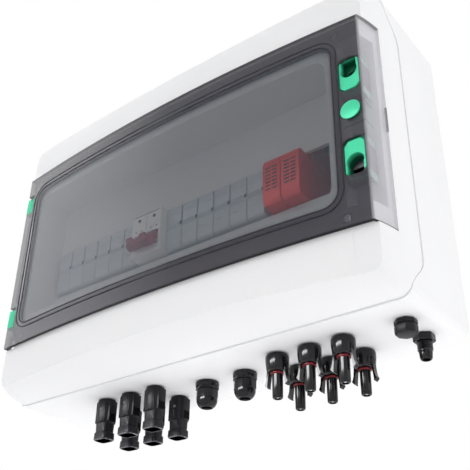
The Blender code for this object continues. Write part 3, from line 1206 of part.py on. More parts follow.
clear_scene()
PARTS = new_collection("dc_combiner_box")
CUTTERS = new_collection("cutters")
MATERIALS = {name: make_material(name, finish) for name, finish in FINISHES.items()}
build_base()
build_gasket()
build_cover()
build_cover_screws()
door_parts = [build_door(), build_door_seal(), build_lock_cap()]
door_parts += [build_latch("latch_upper", 1), build_latch("latch_lower", -1)]
add_pivot("door_hinge_axis", (HINGE_X, HINGE_Y, 0.0), door_parts)
build_hinge_clips()
build_rail()
build_fuse_holders()
build_breaker()
build_surge_arrester()
build_bars()
build_connectors()
build_gland("gland_body_left", "gland_nut_left", GLAND_X[0])
build_gland("gland_body_right", "gland_nut_right", GLAND_X[1])
build_vent()
build_earth_gland()
for cutter in CUTTERS.objects:
    cutter.hide_render = True
    cutter.display_type = "WIRE"
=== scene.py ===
"""Looks of a wall-hung dc combiner box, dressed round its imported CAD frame.

X runs to the right, Z up and -Y out of the wall, with the origin in the back face. Blender's places are in metres.
The sizes of the forms are in millimetres, and docstrings say where it is otherwise.
"""

import json
import logging
import math
from dataclasses import dataclass
from enum import Enum
from typing import Any, Callable, Iterable, Mapping, Optional, Sequence, Union

import bmesh
import bpy
from mathutils import Matrix, Vector
from mathutils.bvhtree import BVHTree

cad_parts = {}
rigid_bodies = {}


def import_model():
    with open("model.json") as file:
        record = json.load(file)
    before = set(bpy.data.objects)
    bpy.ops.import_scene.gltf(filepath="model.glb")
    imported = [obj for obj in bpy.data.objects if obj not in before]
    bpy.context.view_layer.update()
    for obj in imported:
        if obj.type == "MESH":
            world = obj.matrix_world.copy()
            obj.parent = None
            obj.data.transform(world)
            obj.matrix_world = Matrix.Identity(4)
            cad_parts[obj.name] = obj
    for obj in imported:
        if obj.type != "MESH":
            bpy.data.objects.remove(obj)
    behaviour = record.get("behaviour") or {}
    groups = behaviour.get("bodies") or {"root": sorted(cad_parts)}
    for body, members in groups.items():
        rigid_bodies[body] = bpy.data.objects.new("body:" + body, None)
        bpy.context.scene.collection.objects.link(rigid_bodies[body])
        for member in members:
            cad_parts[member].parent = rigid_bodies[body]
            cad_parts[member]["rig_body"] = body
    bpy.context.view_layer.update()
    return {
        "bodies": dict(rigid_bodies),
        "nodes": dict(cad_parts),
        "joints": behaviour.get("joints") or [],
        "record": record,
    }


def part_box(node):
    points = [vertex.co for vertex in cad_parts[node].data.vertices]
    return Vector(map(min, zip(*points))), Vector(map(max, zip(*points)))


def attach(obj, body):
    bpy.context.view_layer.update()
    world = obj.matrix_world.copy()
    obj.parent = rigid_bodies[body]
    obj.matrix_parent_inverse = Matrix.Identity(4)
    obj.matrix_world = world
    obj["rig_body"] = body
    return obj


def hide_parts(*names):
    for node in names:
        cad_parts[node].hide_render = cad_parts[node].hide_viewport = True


Colour = tuple[float, float, float, float]
Span = tuple[float, float]
Point = tuple[float, float, float]
Shape = bmesh.types.BMesh
Socket = bpy.types.NodeSocket
Tree = bpy.types.NodeTree

LOG = logging.getLogger("combiner_box")
MM = 0.001
WHITE: Colour = (1.0, 1.0, 1.0, 1.0)
# Angle from which an edge stays sharp on dressed nodes and moulded fittings
FACET_DEG = 30.0
# Joining of a CAD node's loose triangles: distance in metres, and angle between faces that count as one
MERGE_DISTANCE = 1e-6
FLAT_DEG = 0.3
# Rounded square of the connectors: power of its outline, and how much of a polygon's corner is left
SQUARE_POWER = 5
CORNER_LEFT = 0.3
# Facets of a round ring: round the tube, and round the ring
TUBE_SIDES = 12
TUBE_STEPS = 40
# Steps across a softened edge
EDGE_STEPS = 2


def linear(hex_colour: str) -> Colour:
    """Turn an sRGB hex colour to linear light.

    Args:
        hex_colour: six hex digits after a hash sign.

    Returns:
        Linear red, green, blue and an alpha of one.
    """
    channels = [int(hex_colour[start:start + 2], 16) / 255 for start in (1, 3, 5)]
    red, green, blue = [c / 12.92 if c <= 0.04045 else ((c + 0.055) / 1.055) ** 2.4 for c in channels]
    return red, green, blue, 1.0


def add_node(tree: Tree, kind: str, settings: Optional[Mapping[str, Any]] = None,
             inputs: Optional[Mapping[Union[str, int], Any]] = None) -> bpy.types.Node:
    """Add one shader node with its settings, values and links.

    Args:
        tree: node tree that takes the node.
        kind: type name of the node.
        settings: values of the node's own properties.
        inputs: for each input socket, a value or an output socket to link.

    Returns:
        The new node.
    """
    node = tree.nodes.new(kind)
    for key, value in (settings or {}).items():
        setattr(node, key, value)
    for key, value in (inputs or {}).items():
        if isinstance(value, Socket):
            tree.links.new(value, node.inputs[key])
        else:
            node.inputs[key].default_value = value
    return node


def new_tree(name: str) -> tuple[bpy.types.Material, Tree, Socket]:
    """Make an empty material.

    Args:
        name: name of the material.

    Returns:
        The material, its tree, and the Object coordinates.
    """
    material = bpy.data.materials.new(name)
    material.use_nodes = True
    tree = material.node_tree
    tree.nodes.clear()
    return material, tree, add_node(tree, "ShaderNodeTexCoord").outputs["Object"]


def close_tree(tree: Tree, shader: Socket) -> None:
    """Link a shader to a new material output."""
    add_node(tree, "ShaderNodeOutputMaterial", inputs={"Surface": shader})


def per_metre(size_mm: float) -> float:
    """Return the texture scale that gives features of a size in millimetres."""
    return 1.0 / (size_mm * MM)


def around(middle: float, half: float) -> Span:
    """Return the span of a half width on both sides of a middle."""
    return middle - half, middle + half


@dataclass(frozen=True)
class Moulding:
    """Injection-moulded plastic or rubber: a slow drift of colour and the fine grain of the mould.

    The grain of a mould is finer than a pixel, so it is drawn coarse enough to break up the highlights.
    A painted shade colour can take over behind the front face, from one depth in metres to another, to darken a hollow.
    """

    name: str
    slot: str
    colour: str
    drift_colour: str
    roughness: float
    ior: float = 1.5
    drift_mm: float = 60.0
    grain_mm: float = 1.4
    relief_mm: float = 0.03
    gloss_spread: float = 0.06
    deep_colour: Optional[str] = None
    deep_span: Span = (0.0, 1.0)
    drift_detail: float = 3.0
    grain_detail: float = 2.0
    grain_break: float = 0.6
    relief_strength: float = 0.5

    def build(self) -> bpy.types.Material:
        """Build the finish.

        Returns:
            The node material of the moulding.
        """
        material, tree, place = new_tree(self.name)
        drift = add_node(tree, "ShaderNodeTexNoise", inputs={
            "Vector": place, "Scale": per_metre(self.drift_mm), "Detail": self.drift_detail})
        blend = add_node(tree, "ShaderNodeMix", {"data_type": "RGBA"}, {
            0: drift.outputs["Fac"], 6: linear(self.colour), 7: linear(self.drift_colour)})
        # Painted shade: the colour darkens with depth behind the front face
        if self.deep_colour:
            axes = add_node(tree, "ShaderNodeSeparateXYZ", inputs={"Vector": place})
            depth = add_node(tree, "ShaderNodeMapRange", inputs={
                "Value": axes.outputs["Y"], "From Min": self.deep_span[0], "From Max": self.deep_span[1]})
            blend = add_node(tree, "ShaderNodeMix", {"data_type": "RGBA"}, {
                0: depth.outputs["Result"], 6: blend.outputs[2], 7: linear(self.deep_colour)})
        grain = add_node(tree, "ShaderNodeTexNoise", inputs={
            "Vector": place, "Scale": per_metre(self.grain_mm), "Detail": self.grain_detail,
            "Roughness": self.grain_break})
        gloss = add_node(tree, "ShaderNodeMapRange", inputs={
            "Value": grain.outputs["Fac"], "To Min": self.roughness - self.gloss_spread,
            "To Max": self.roughness + self.gloss_spread})
        relief = add_node(tree, "ShaderNodeBump", inputs={
            "Height": grain.outputs["Fac"], "Strength": self.relief_strength, "Distance": self.relief_mm * MM})
        shader = add_node(tree, "ShaderNodeBsdfPrincipled", inputs={
            "Base Color": blend.outputs[2], "Roughness": gloss.outputs["Result"], "IOR": self.ior,
            "Normal": relief.outputs["Normal"]})
        close_tree(tree, shader.outputs["BSDF"])
        return material


@dataclass(frozen=True)
class PlatedMetal:
    """Plated or drawn metal: fine lines along the drawing direction, coarser than real ones so that they show."""

    name: str
    slot: str
    colour: str
    drift_colour: str
    roughness: float
    line_mm: float = 0.9
    line_detail: float = 3.0
    stretch: float = 0.03
    gloss_spread: float = 0.08
    relief_mm: float = 0.02
    relief_strength: float = 0.3

    def build(self) -> bpy.types.Material:
        """Build the finish.

        Returns:
            The node material of the metal.
        """
        material, tree, place = new_tree(self.name)
        drawn = add_node(tree, "ShaderNodeMapping", inputs={"Vector": place, "Scale": (self.stretch, 1.0, 1.0)})
        lines = add_node(tree, "ShaderNodeTexNoise", inputs={
            "Vector": drawn.outputs["Vector"], "Scale": per_metre(self.line_mm), "Detail": self.line_detail})
        blend = add_node(tree, "ShaderNodeMix", {"data_type": "RGBA"}, {
            0: lines.outputs["Fac"], 6: linear(self.colour), 7: linear(self.drift_colour)})
        gloss = add_node(tree, "ShaderNodeMapRange", inputs={
            "Value": lines.outputs["Fac"], "To Min": self.roughness - self.gloss_spread,
            "To Max": self.roughness + self.gloss_spread})
        relief = add_node(tree, "ShaderNodeBump", inputs={
            "Height": lines.outputs["Fac"], "Strength": self.relief_strength, "Distance": self.relief_mm * MM})
        shader = add_node(tree, "ShaderNodeBsdfPrincipled", inputs={
            "Base Color": blend.outputs[2], "Metallic": 1.0, "Roughness": gloss.outputs["Result"],
            "Normal": relief.outputs["Normal"]})
        close_tree(tree, shader.outputs["BSDF"])
        return material


@dataclass(frozen=True)
class SmokedSheet:
    """Smoked clear polycarbonate: lets the fittings show, darker in the thick frame, paler in the thin flange.

    The window, the flange and the upper and lower edge are placed in metres. The upper and lower edge carry painted
    shade: near black and almost opaque.
    """

    name: str
    slot: str
    window_colour: str
    frame_colour: str
    flange_colour: str
    edge_colour: str
    gloss_tint: str
    roughness: float
    window_alpha: float
    frame_alpha: float
    flange_alpha: float
    edge_alpha: float
    window_half: Span
    window_x: float
    window_radius: float
    window_fade: float
    flange_x: float
    edge_z: float
    ior: float = 1.58
    face_shine: float = 0.5
    edge_shine: float = 0.1
    window_soft_mm: float = 1.0
    flange_soft_mm: float = 0.6
    edge_soft_mm: float = 0.3
    haze_mm: float = 80.0
    haze_detail: float = 2.0
    gloss_range: Span = (-0.02, 0.03)

    def build(self) -> bpy.types.Material:
        """Build the finish.

        Returns:
            The node material of the door.
        """
        material, tree, place = new_tree(self.name)
        axes = add_node(tree, "ShaderNodeSeparateXYZ", inputs={"Vector": place})
        height = add_node(tree, "ShaderNodeMath", {"operation": "ABSOLUTE"}, {0: axes.outputs["Z"]})
        half_fade = self.window_fade / 2
        frame_limits = around(self.window_radius - half_fade, half_fade + self.window_soft_mm * MM)
        flange_limits = around(self.flange_x, self.flange_soft_mm * MM)
        edge_limits = around(self.edge_z, self.edge_soft_mm * MM)
        alpha: Union[float, Socket] = self.window_alpha
        colour: Union[Colour, Socket] = linear(self.window_colour)
        share: Union[float, Socket] = 0.0
        # The last of these paints shade on the upper and lower edge of the door
        for value, limits, strength, tone in (
                (self.window_reach(tree, axes), frame_limits, self.frame_alpha, self.frame_colour),
                (axes.outputs["X"], flange_limits, self.flange_alpha, self.flange_colour),
                (height.outputs[0], edge_limits, self.edge_alpha, self.edge_colour)):
            share = add_node(tree, "ShaderNodeMapRange", {"interpolation_type": "SMOOTHSTEP"}, {
                "Value": value, "From Min": limits[0], "From Max": limits[1]}).outputs["Result"]
            alpha = add_node(tree, "ShaderNodeMix", {"data_type": "FLOAT"}, {
                0: share, 2: alpha, 3: strength}).outputs[0]
            colour = add_node(tree, "ShaderNodeMix", {"data_type": "RGBA"}, {
                0: share, 6: colour, 7: linear(tone)}).outputs[2]
        haze = add_node(tree, "ShaderNodeTexNoise", inputs={
            "Vector": place, "Scale": per_metre(self.haze_mm), "Detail": self.haze_detail})
        gloss = add_node(tree, "ShaderNodeMapRange", inputs={
            "Value": haze.outputs["Fac"], "To Min": self.roughness + self.gloss_range[0],
            "To Max": self.roughness + self.gloss_range[1]})
        shine = add_node(tree, "ShaderNodeMapRange", inputs={
            "Value": share, "To Min": self.face_shine, "To Max": self.edge_shine})
        shader = add_node(tree, "ShaderNodeBsdfPrincipled", inputs={
            "Base Color": colour, "Roughness": gloss.outputs["Result"], "IOR": self.ior, "Alpha": alpha,
            "Specular IOR Level": shine.outputs["Result"], "Specular Tint": linear(self.gloss_tint)})
        close_tree(tree, shader.outputs["BSDF"])
        return material

    def window_reach(self, tree: Tree, axes: bpy.types.Node) -> Socket:
        """Work out how near a place is to the outline of the round-cornered window.

        Args:
            tree: node tree of the door.
            axes: node that gives the place along each axis.

        Returns:
            The distance that reaches the window's corner radius on the outline.
        """
        spans = []
        for axis, centre, half in (("X", self.window_x, self.window_half[0]), ("Z", 0.0, self.window_half[1])):
            from_middle = add_node(tree, "ShaderNodeMath", {"operation": "SUBTRACT"}, {
                0: axes.outputs[axis], 1: centre})
            span = add_node(tree, "ShaderNodeMath", {"operation": "ABSOLUTE"}, {0: from_middle.outputs[0]})
            past = add_node(tree, "ShaderNodeMath", {"operation": "SUBTRACT"}, {
                0: span.outputs[0], 1: half - self.window_radius})
            spans.append(add_node(tree, "ShaderNodeMath", {"operation": "MAXIMUM"}, {0: past.outputs[0], 1: 0.0}))
        corner = add_node(tree, "ShaderNodeCombineXYZ", inputs={"X": spans[0].outputs[0], "Y": spans[1].outputs[0]})
        return add_node(tree, "ShaderNodeVectorMath", {"operation": "LENGTH"}, {
            0: corner.outputs["Vector"]}).outputs["Value"]


Finish = Union[Moulding, PlatedMetal, SmokedSheet]

# ABS from a polished mould: bright neutral white with an even satin gloss
WHITE_ABS = Moulding("white_abs_moulded", "white_abs", "#F5F5F6", "#F2F2F4", roughness=0.5, ior=1.22, relief_mm=0.003)
# Glass-filled nylon from a polished mould: near black with sharp highlights
BLACK_NYLON = Moulding("black_nylon_polished", "black_nylon", "#131215", "#19181C", roughness=0.13, ior=1.36,
                       drift_mm=25.0, grain_mm=0.9, relief_mm=0.002, gloss_spread=0.03)
# Glass-filled nylon from a spark-eroded mould: near black with a soft sheen
SATIN_NYLON = Moulding("black_nylon_satin", "black_nylon", "#1F1E22", "#27262A", roughness=0.36, ior=1.23,
                       drift_mm=25.0, grain_mm=0.9, relief_mm=0.003, gloss_spread=0.05)
# Painted shade in the sockets' side slots: flush black nylon, dull and deeper black
SLOT_SHADE_NYLON = Moulding("black_nylon_shaded", "black_nylon", "#08080A", "#0B0B0D", roughness=0.7, ior=1.15,
                      drift_mm=25.0)
# Dyed nylon of the hinge clips: green painted darker than the latches as painted shade from the door, and duller
SHADED_CLIP_NYLON = Moulding("shaded_green_nylon_moulded", "green_nylon", "#3FC496", "#48CDA0", roughness=0.5, ior=1.25,
                      drift_mm=30.0)
# Dyed nylon of the lock cap: mint green, satin
GREEN_NYLON = Moulding("green_nylon_moulded", "green_nylon", "#44D6A3", "#4DDCAB", roughness=0.38, ior=1.3,
                       drift_mm=30.0, relief_mm=0.008)
# Dyed nylon of the latches: mint green in front, with painted shade that turns it dark deep in the finger grips
LATCH_NYLON = Moulding("green_nylon_latch", "green_nylon", "#44D6A3", "#4DDCAB", roughness=0.38, ior=1.3,
                       drift_mm=30.0, relief_mm=0.008, deep_colour="#12583F", deep_span=(-0.1298, -0.1245))
# Dyed nylon of the latch sides, paler where the tool left it rough
PALE_NYLON = Moulding("pale_green_nylon_moulded", "green_nylon", "#B4CFC6", "#A9C6BC", roughness=0.5, ior=1.35,
                      drift_mm=30.0)
# Painted shade deep inside the upper finger grip: dark green and dull
GRIP_SHADE_GREEN = Moulding("deep_green_nylon_moulded", "green_nylon", "#0F5A41", "#0B4C37", roughness=0.6, ior=1.3,
                      drift_mm=30.0)
# Painted highlights on the gate marks and mouth rims of the black nylon: mid grey with a soft sheen
HIGHLIGHT_NYLON = Moulding("black_nylon_worn", "black_nylon", "#7C7B82", "#6E6D74", roughness=0.35, ior=1.4, drift_mm=15.0)
# Dyed nylon of the guides beside the latches: lilac grey, satin
GUIDE_NYLON = Moulding("lilac_grey_nylon_moulded", "device_grey", "#8F8793", "#857D89", roughness=0.45, ior=1.53,
                       drift_mm=30.0)
# Black nylon of the lock housing behind the door, also painted shade in the lower finger grip and in the slot at the
# flange's end: near black and dull
HOUSING_AND_SHADE_NYLON = Moulding("dark_nylon_moulded", "black_nylon", "#2F2A31", "#27232A", roughness=0.5, ior=1.53,
                         drift_mm=30.0)
# Foamed silicone of the cover gasket: pale, so that the seam stays faint
PALE_FOAM = Moulding("pale_silicone_foamed", "grey_rubber", "#DCDCDE", "#D2D2D4", roughness=0.75, ior=1.4,
                     drift_mm=20.0, grain_mm=0.8, relief_mm=0.05)
# Soft rubber of the door seal: lilac grey and matt
SEAL_RUBBER = Moulding("lilac_grey_rubber_moulded", "grey_rubber", "#7B7881", "#858189", roughness=0.6, ior=1.4,
                       drift_mm=20.0)
# Smoked polycarbonate of the raised rim lines round the window: dark and dull
SMOKED_RIM = Moulding("smoked_polycarbonate_rim", "smoked_polycarbonate", "#37363B", "#313035", roughness=0.75,
                      ior=1.15, drift_mm=40.0, grain_mm=0.9, relief_mm=0.002)
# Silicone of the plugs' seals: deep red and soft-looking
RED_SILICONE = Moulding("red_silicone_moulded", "surge_red", "#80141E", "#711019", roughness=0.34, ior=1.42,
                        drift_mm=12.0, relief_mm=0.004)
# Polyamide of the fuse holders: pale blue grey
DEVICE_GREY = Moulding("pale_grey_polyamide", "device_grey", "#E0E6EC", "#D6DDE4", roughness=0.45, ior=1.4,
                       drift_mm=40.0, relief_mm=0.01)
# Polyamide of the breaker: clean white
DEVICE_WHITE = Moulding("white_polyamide", "device_white", "#FFFFFE", "#FBFBFA", roughness=0.42, ior=1.45,
                        drift_mm=40.0, relief_mm=0.01)
# Polyamide of the carriers' catches, and painted shadow in the lines between the carriers: mid grey and dull
CATCH_AND_SHADOW_POLYAMIDE = Moulding("dark_grey_polyamide", "black_nylon", "#6B727B", "#5F666F", roughness=0.6, ior=1.4,
                          drift_mm=20.0)
# Painted shade in the breaker's screw holes, and the polyamide of its lines: dark and dull
HOLE_SHADE_AND_LINES = Moulding("hole_in_polyamide", "black_nylon", "#2C2F33", "#25282B", roughness=0.7, ior=1.4,
                          drift_mm=20.0)
# Thermoset of the toggle: dark red with a violet cast
HANDLE_RED = Moulding("dark_red_thermoset", "handle_red", "#B44C68", "#A5445F", roughness=0.4, ior=1.4, drift_mm=20.0)
# Polycarbonate of the surge arrester: signal red
SURGE_RED = Moulding("red_polycarbonate", "surge_red", "#FF3D3A", "#F23834", roughness=0.42, ior=1.4, drift_mm=30.0,
                     relief_mm=0.01)
# Painted shade in the surge arrester's slots and finger notches: dark red and dull
SLOT_SHADE_RED = Moulding("dark_red_polycarbonate", "surge_red", "#3A0A0D", "#30080A", roughness=0.6, ior=1.3,
                    drift_mm=20.0)
# Zinc-plated steel strip: cool grey with fine lines
ZINC_STEEL = PlatedMetal("zinc_plated_steel", "zinc_steel", "#C9CCD0", "#B4B8BE", roughness=0.38)
# Drawn copper bar: warm, with lines along the bar
COPPER = PlatedMetal("drawn_copper", "copper", "#D08A62", "#BC774F", roughness=0.32)
# Drawn brass bar: pale yellow, with lines along the bar
BRASS = PlatedMetal("drawn_brass", "brass", "#CDAE62", "#B8994F", roughness=0.3)
# Smoked polycarbonate of the door: clear grey window, dark frame, pale flange, and painted shade, near black, on the
# upper and lower edge
SMOKED_DOOR = SmokedSheet(
    "smoked_polycarbonate_moulded", "smoked_polycarbonate", window_colour="#3A464E", frame_colour="#37353D",
    flange_colour="#DEDDE3", edge_colour="#16151A", gloss_tint="#F6F4FF", roughness=0.07, window_alpha=0.36,
    frame_alpha=0.64, flange_alpha=0.3, edge_alpha=0.95, window_half=(0.1735, 0.077), window_x=-0.0035,
    window_radius=0.014, window_fade=0.003, flange_x=0.1925, edge_z=0.0954)


class Side(Enum):
    """Left or right one of a pair, as the CAD nodes name it."""

    LEFT = "left"
    RIGHT = "right"


class Level(Enum):
    """Upper or lower one of a pair on the door, and which way it lies from the middle."""

    UPPER = 1
    LOWER = -1

    @property
    def label(self) -> str:
        """Return the level as the CAD nodes name it."""
        return self.name.lower()


class Section(Enum):
    """Cross-section of a ring in a loft: a polygon's value is its number of sides, and SQUARE is a rounded square."""

    ROUND = 0
    BOX = 4
    SQUARE = 5
    HEXAGON = 6
    OCTAGON = 8

    def reach(self, angle: float) -> float:
        """Work out the distance to the outline, for a half width of one.

        Args:
            angle: direction from the middle, in radians.

        Returns:
            The distance in that direction.
        """
        if self is Section.ROUND:
            return 1.0
        if self is Section.SQUARE:
            powers = abs(math.cos(angle)) ** SQUARE_POWER + abs(math.sin(angle)) ** SQUARE_POWER
            return powers ** (-1.0 / SQUARE_POWER)
        step = math.tau / self.value
        from_flat = (angle + step / 2) % step - step / 2
        corner = 1.0 / math.cos(step / 2)
        limit = corner if self is Section.BOX else 0.5 * (1.0 + corner) + CORNER_LEFT * (corner - 1.0)
        return min(1.0 / math.cos(from_flat), limit)


@dataclass(frozen=True)
class Ring:
    """One ring of a loft: distance along the axis, half width, half depth, section and sideways shift."""

    drop: float
    half_x: float
    half_y: Optional[float] = None
    section: Section = Section.ROUND
    shift: Span = (0.0, 0.0)


def profile(section: Section, *sizes: Sequence[float]) -> list[Ring]:
    """Return rings of one section, from rows of a drop, a half width and, where it differs, a half depth."""
    return [Ring(row[0], row[1], row[2] if len(row) > 2 else None, section) for row in sizes]


def back_nut(nut: float, stem: float, section: Section = Section.ROUND) -> list[Ring]:
    """Return the rings of a fitting's nut behind the wall and of its stem through the wall, from their half widths."""
    return profile(section, (-7.8, nut), (-3.8, nut)) + profile(Section.ROUND, (-3.8, stem), (0.3, stem))


def edges_of(verts: Iterable[bmesh.types.BMVert]) -> list[bmesh.types.BMEdge]:
    """Return the edges that meet at any of the vertices, each once."""
    return list(dict.fromkeys(edge for vert in verts for edge in vert.link_edges))


def loft(shape: Shape, rings: Sequence[Ring], place: Sequence[float], sides: int = 48, turn: float = 0.0,
         ring_shaped: bool = False) -> None:
    """Bridge a row of rings that hang down from a place.

    Args:
        shape: bmesh that takes the loft.
        rings: rings in order along the surface.
        place: point that the drops are measured down from, in metres.
        sides: points in each ring.
        turn: angle of the first point.
        ring_shaped: True joins the last ring to the first one, False caps both.
    """
    loops = []
    for ring in rings:
        verts = bmesh.ops.create_circle(shape, cap_ends=False, radius=1.0, segments=sides)["verts"]
        half_y = ring.half_x if ring.half_y is None else ring.half_y
        for index, vert in enumerate(verts):
            angle = turn + math.tau * index / sides
            reach = ring.section.reach(angle)
            vert.co = (place[0] + (ring.shift[0] + ring.half_x * reach * math.cos(angle)) * MM,
                       place[1] + (ring.shift[1] + half_y * reach * math.sin(angle)) * MM,
                       place[2] - ring.drop * MM)
        loops.append(edges_of(verts))
    pairs = list(zip(loops, loops[1:]))
    if ring_shaped:
        pairs.append((loops[-1], loops[0]))
    for near, far in pairs:
        bmesh.ops.bridge_loops(shape, edges=near + far)
    if not ring_shaped:
        for cap in (loops[0], loops[-1]):
            bmesh.ops.edgeloop_fill(shape, edges=cap)


def recess(shape: Shape, faces: Iterable[bmesh.types.BMFace], margin: float, depth: float) -> None:
    """Sink a patch of faces into a solid.

    Args:
        shape: bmesh of the solid.
        faces: faces of the patch.
        margin: width of the sloped rim.
        depth: depth of the patch.
    """
    bmesh.ops.recalc_face_normals(shape, faces=shape.faces)
    bmesh.ops.inset_region(shape, faces=list(faces), thickness=margin * MM, depth=-depth * MM,
                           use_boundary=True, use_even_offset=True)


def block(shape: Shape, across: Span, deep: Span, up: Span, edge: float = 0.0) -> None:
    """Add a box with softened edges.

    Args:
        shape: bmesh that takes the box.
        across: its left and right end.
        deep: its front and back.
        up: its lower and upper end.
        edge: radius of its edges.
    """
    spans = (across, deep, up)
    verts = bmesh.ops.create_cube(shape, size=1.0)["verts"]
    bmesh.ops.scale(shape, vec=Vector([(high - low) * MM for low, high in spans]), verts=verts)
    bmesh.ops.translate(shape, vec=Vector([(low + high) / 2 * MM for low, high in spans]), verts=verts)
    if edge:
        bmesh.ops.bevel(shape, geom=edges_of(verts), offset=edge * MM, offset_type="OFFSET", segments=EDGE_STEPS,
                        profile=0.5, affect="EDGES", material=-1)


@dataclass(frozen=True)
class Form:
    """Small box-shaped form: spans across, deep and up from a place on what carries it, and an edge radius."""

    across: Span
    deep: Span
    up: Span
    edge: float = 0.0

    def add(self, shape: Shape, place: Sequence[float]) -> None:
        """Add the form to a bmesh.

        Args:
            shape: bmesh that takes the form.
            place: point that the spans are measured from.
        """
        spans = [(start + span[0], start + span[1]) for start, span in zip(place, (self.across, self.deep, self.up))]
        block(shape, spans[0], spans[1], spans[2], self.edge)

    def mirrored(self) -> "Form":
        """Return the same form on the other side of the place."""
        return Form((-self.across[1], -self.across[0]), self.deep, self.up, self.edge)


def drum(shape: Shape, place: Sequence[float], radius: float, length: float, turn_axis: str, sides: int = 32) -> None:
    """Add a closed round drum.

    Args:
        shape: bmesh that takes the drum.
        place: its middle.
        radius: its radius.
        length: its length.
        turn_axis: axis that the upright drum is turned about by a right angle.
        sides: number of its facets.
    """
    verts = bmesh.ops.create_cone(shape, cap_ends=True, segments=sides, radius1=radius * MM, radius2=radius * MM,
                                  depth=length * MM, matrix=Matrix.Rotation(math.pi / 2, 4, turn_axis))["verts"]
    bmesh.ops.translate(shape, verts=verts, vec=[value * MM for value in place])


def ring_tube(shape: Shape, place: Sequence[float], radius: float, thickness: float) -> None:
    """Add a round ring that lies level to an empty bmesh.

    Args:
        shape: bmesh that takes the ring.
        place: middle of the ring, in metres.
        radius: radius to the middle of the tube.
        thickness: radius of the tube.
    """
    circle = bmesh.ops.create_circle(shape, cap_ends=False, radius=thickness * MM, segments=TUBE_SIDES)["verts"]
    bmesh.ops.rotate(shape, verts=circle, cent=(0, 0, 0), matrix=Matrix.Rotation(math.pi / 2, 3, "X"))
    bmesh.ops.translate(shape, verts=circle, vec=(radius * MM, 0, 0))
    bmesh.ops.spin(shape, geom=circle + edges_of(circle), cent=(0, 0, 0), axis=(0, 0, 1), angle=math.tau,
                   steps=TUBE_STEPS, use_merge=True)
    bmesh.ops.translate(shape, verts=shape.verts, vec=place)


def rounded_outline(half: Sequence[float], radius: float, arc: int, runs: tuple[int, int]) -> list[Span]:
    """Lay out a rectangle with round corners.

    Args:
        half: half width and half height.
        radius: radius of the corners.
        arc: points on each corner.
        runs: further points on each level side and on each upright side.

    Returns:
        Places across and up, in order round the middle.
    """
    corners = []
    for turn, (right, top) in enumerate(((1, 1), (-1, 1), (-1, -1), (1, -1))):
        for step in range(arc):
            angle = math.pi / 2 * (turn + step / (arc - 1))
            corners.append((right * (half[0] - radius) + radius * math.cos(angle),
                            top * (half[1] - radius) + radius * math.sin(angle)))
    points = []
    for index, corner in enumerate(corners):
        points.append(corner)
        if index % arc == arc - 1:
            ahead = corners[(index + 1) % len(corners)]
            count = runs[index // arc % 2]
            points += [(corner[0] + (ahead[0] - corner[0]) * step / (count + 1),
                        corner[1] + (ahead[1] - corner[1]) * step / (count + 1)) for step in range(1, count + 1)]
    return points


class Workshop:
    """Makes pieces from meshes, dresses them and hangs them on the CAD bodies."""

    def __init__(self, frame: Mapping[str, Any]) -> None:
        """Keep the loaded frame and find the body of every node.
        """
        self.frame = frame
        self.materials: dict[str, bpy.types.Material] = {}
        self.body_of = {name: node["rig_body"] for name, node in frame["nodes"].items()}

    def material(self, finish: Finish) -> bpy.types.Material:
        """Build a finish the first time that it is asked for.

        Args:
            finish: the finish.

        Returns:
            Its material.
        """
        if finish.name not in self.materials:
            self.materials[finish.name] = finish.build()
        return self.materials[finish.name]

    def piece(self, name: str, shape: Shape, body: str, finish: Finish, stands_for: Sequence[str] = (),
              sharp_deg: float = 38.0, edge: float = 0.0) -> bpy.types.Object:
        """Turn a bmesh into a finished piece.

        Args:
            name: name of the piece.
            shape: bmesh of the piece, which is freed.
            body: CAD body that it rides on.
            finish: its finish.
            stands_for: CAD nodes that it replaces.
            sharp_deg: angle from which an edge stays sharp.
            edge: width of a bevel on the sharp edges.

        Returns:
            The new object.
        """
        bmesh.ops.recalc_face_normals(shape, faces=shape.faces)
        for face in shape.faces:
            face.smooth = True
        for line in shape.edges:
            line.smooth = line.calc_face_angle(0.0) < math.radians(sharp_deg)
        mesh = bpy.data.meshes.new(name)
        shape.to_mesh(mesh)
        shape.free()
        mesh.materials.append(self.material(finish))
        thing = bpy.data.objects.new(name, mesh)
        bpy.context.scene.collection.objects.link(thing)
        if edge:
            soft = thing.modifiers.new("soft_edges", "BEVEL")
            soft.width = edge * MM
            soft.segments = EDGE_STEPS
            soft.limit_method = "ANGLE"
            soft.angle_limit = math.radians(sharp_deg)
            soft.harden_normals = True
        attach(thing, body)
        if stands_for:
            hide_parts(*stands_for)
        LOG.info("piece %s rides on %s", name, body)
        return thing

    def dressed(self, node: str, finish: Finish, edge: float,
                more: Optional[Callable[[Shape], None]] = None) -> bpy.types.Object:
        """Replace a CAD node by a merged, smooth and softly edged copy.

        Args:
            node: name of the CAD node.
            finish: finish of the copy.
            edge: width of the edge bevel.
            more: adds further forms of the same finish to the copy.

        Returns:
            The new object.
        """
        shape = bmesh.new()
        shape.from_mesh(self.frame["nodes"][node].data)
        bmesh.ops.remove_doubles(shape, verts=shape.verts, dist=MERGE_DISTANCE)
        bmesh.ops.dissolve_degenerate(shape, edges=shape.edges, dist=MERGE_DISTANCE)
        bmesh.ops.dissolve_limit(shape, angle_limit=math.radians(FLAT_DEG), verts=shape.verts, edges=shape.edges)
        if more:
            more(shape)
        thing = self.piece(node + "_dressed", shape, self.body_of[node], finish, [node], FACET_DEG, edge)
        if "custom_normal" in thing.data.attributes:
            thing.data.attributes.remove(thing.data.attributes["custom_normal"])
        return thing

    def fitting(self, name: str, shape: Shape, node: str, finish: Finish) -> None:
        """Replace the CAD node of a moulded fitting by a piece."""
        self.piece(name, shape, self.body_of[node], finish, [node], FACET_DEG)

    def keep(self, nodes: Iterable[str], finish: Finish) -> None:
        """Give kept CAD nodes a finish.

        Args:
            nodes: names of the nodes.
            finish: their finish.
        """
        for node in nodes:
            data = self.frame["nodes"][node].data
            data.materials.clear()
            data.materials.append(self.material(finish))
            LOG.info("node %s kept as %s", node, finish.name)


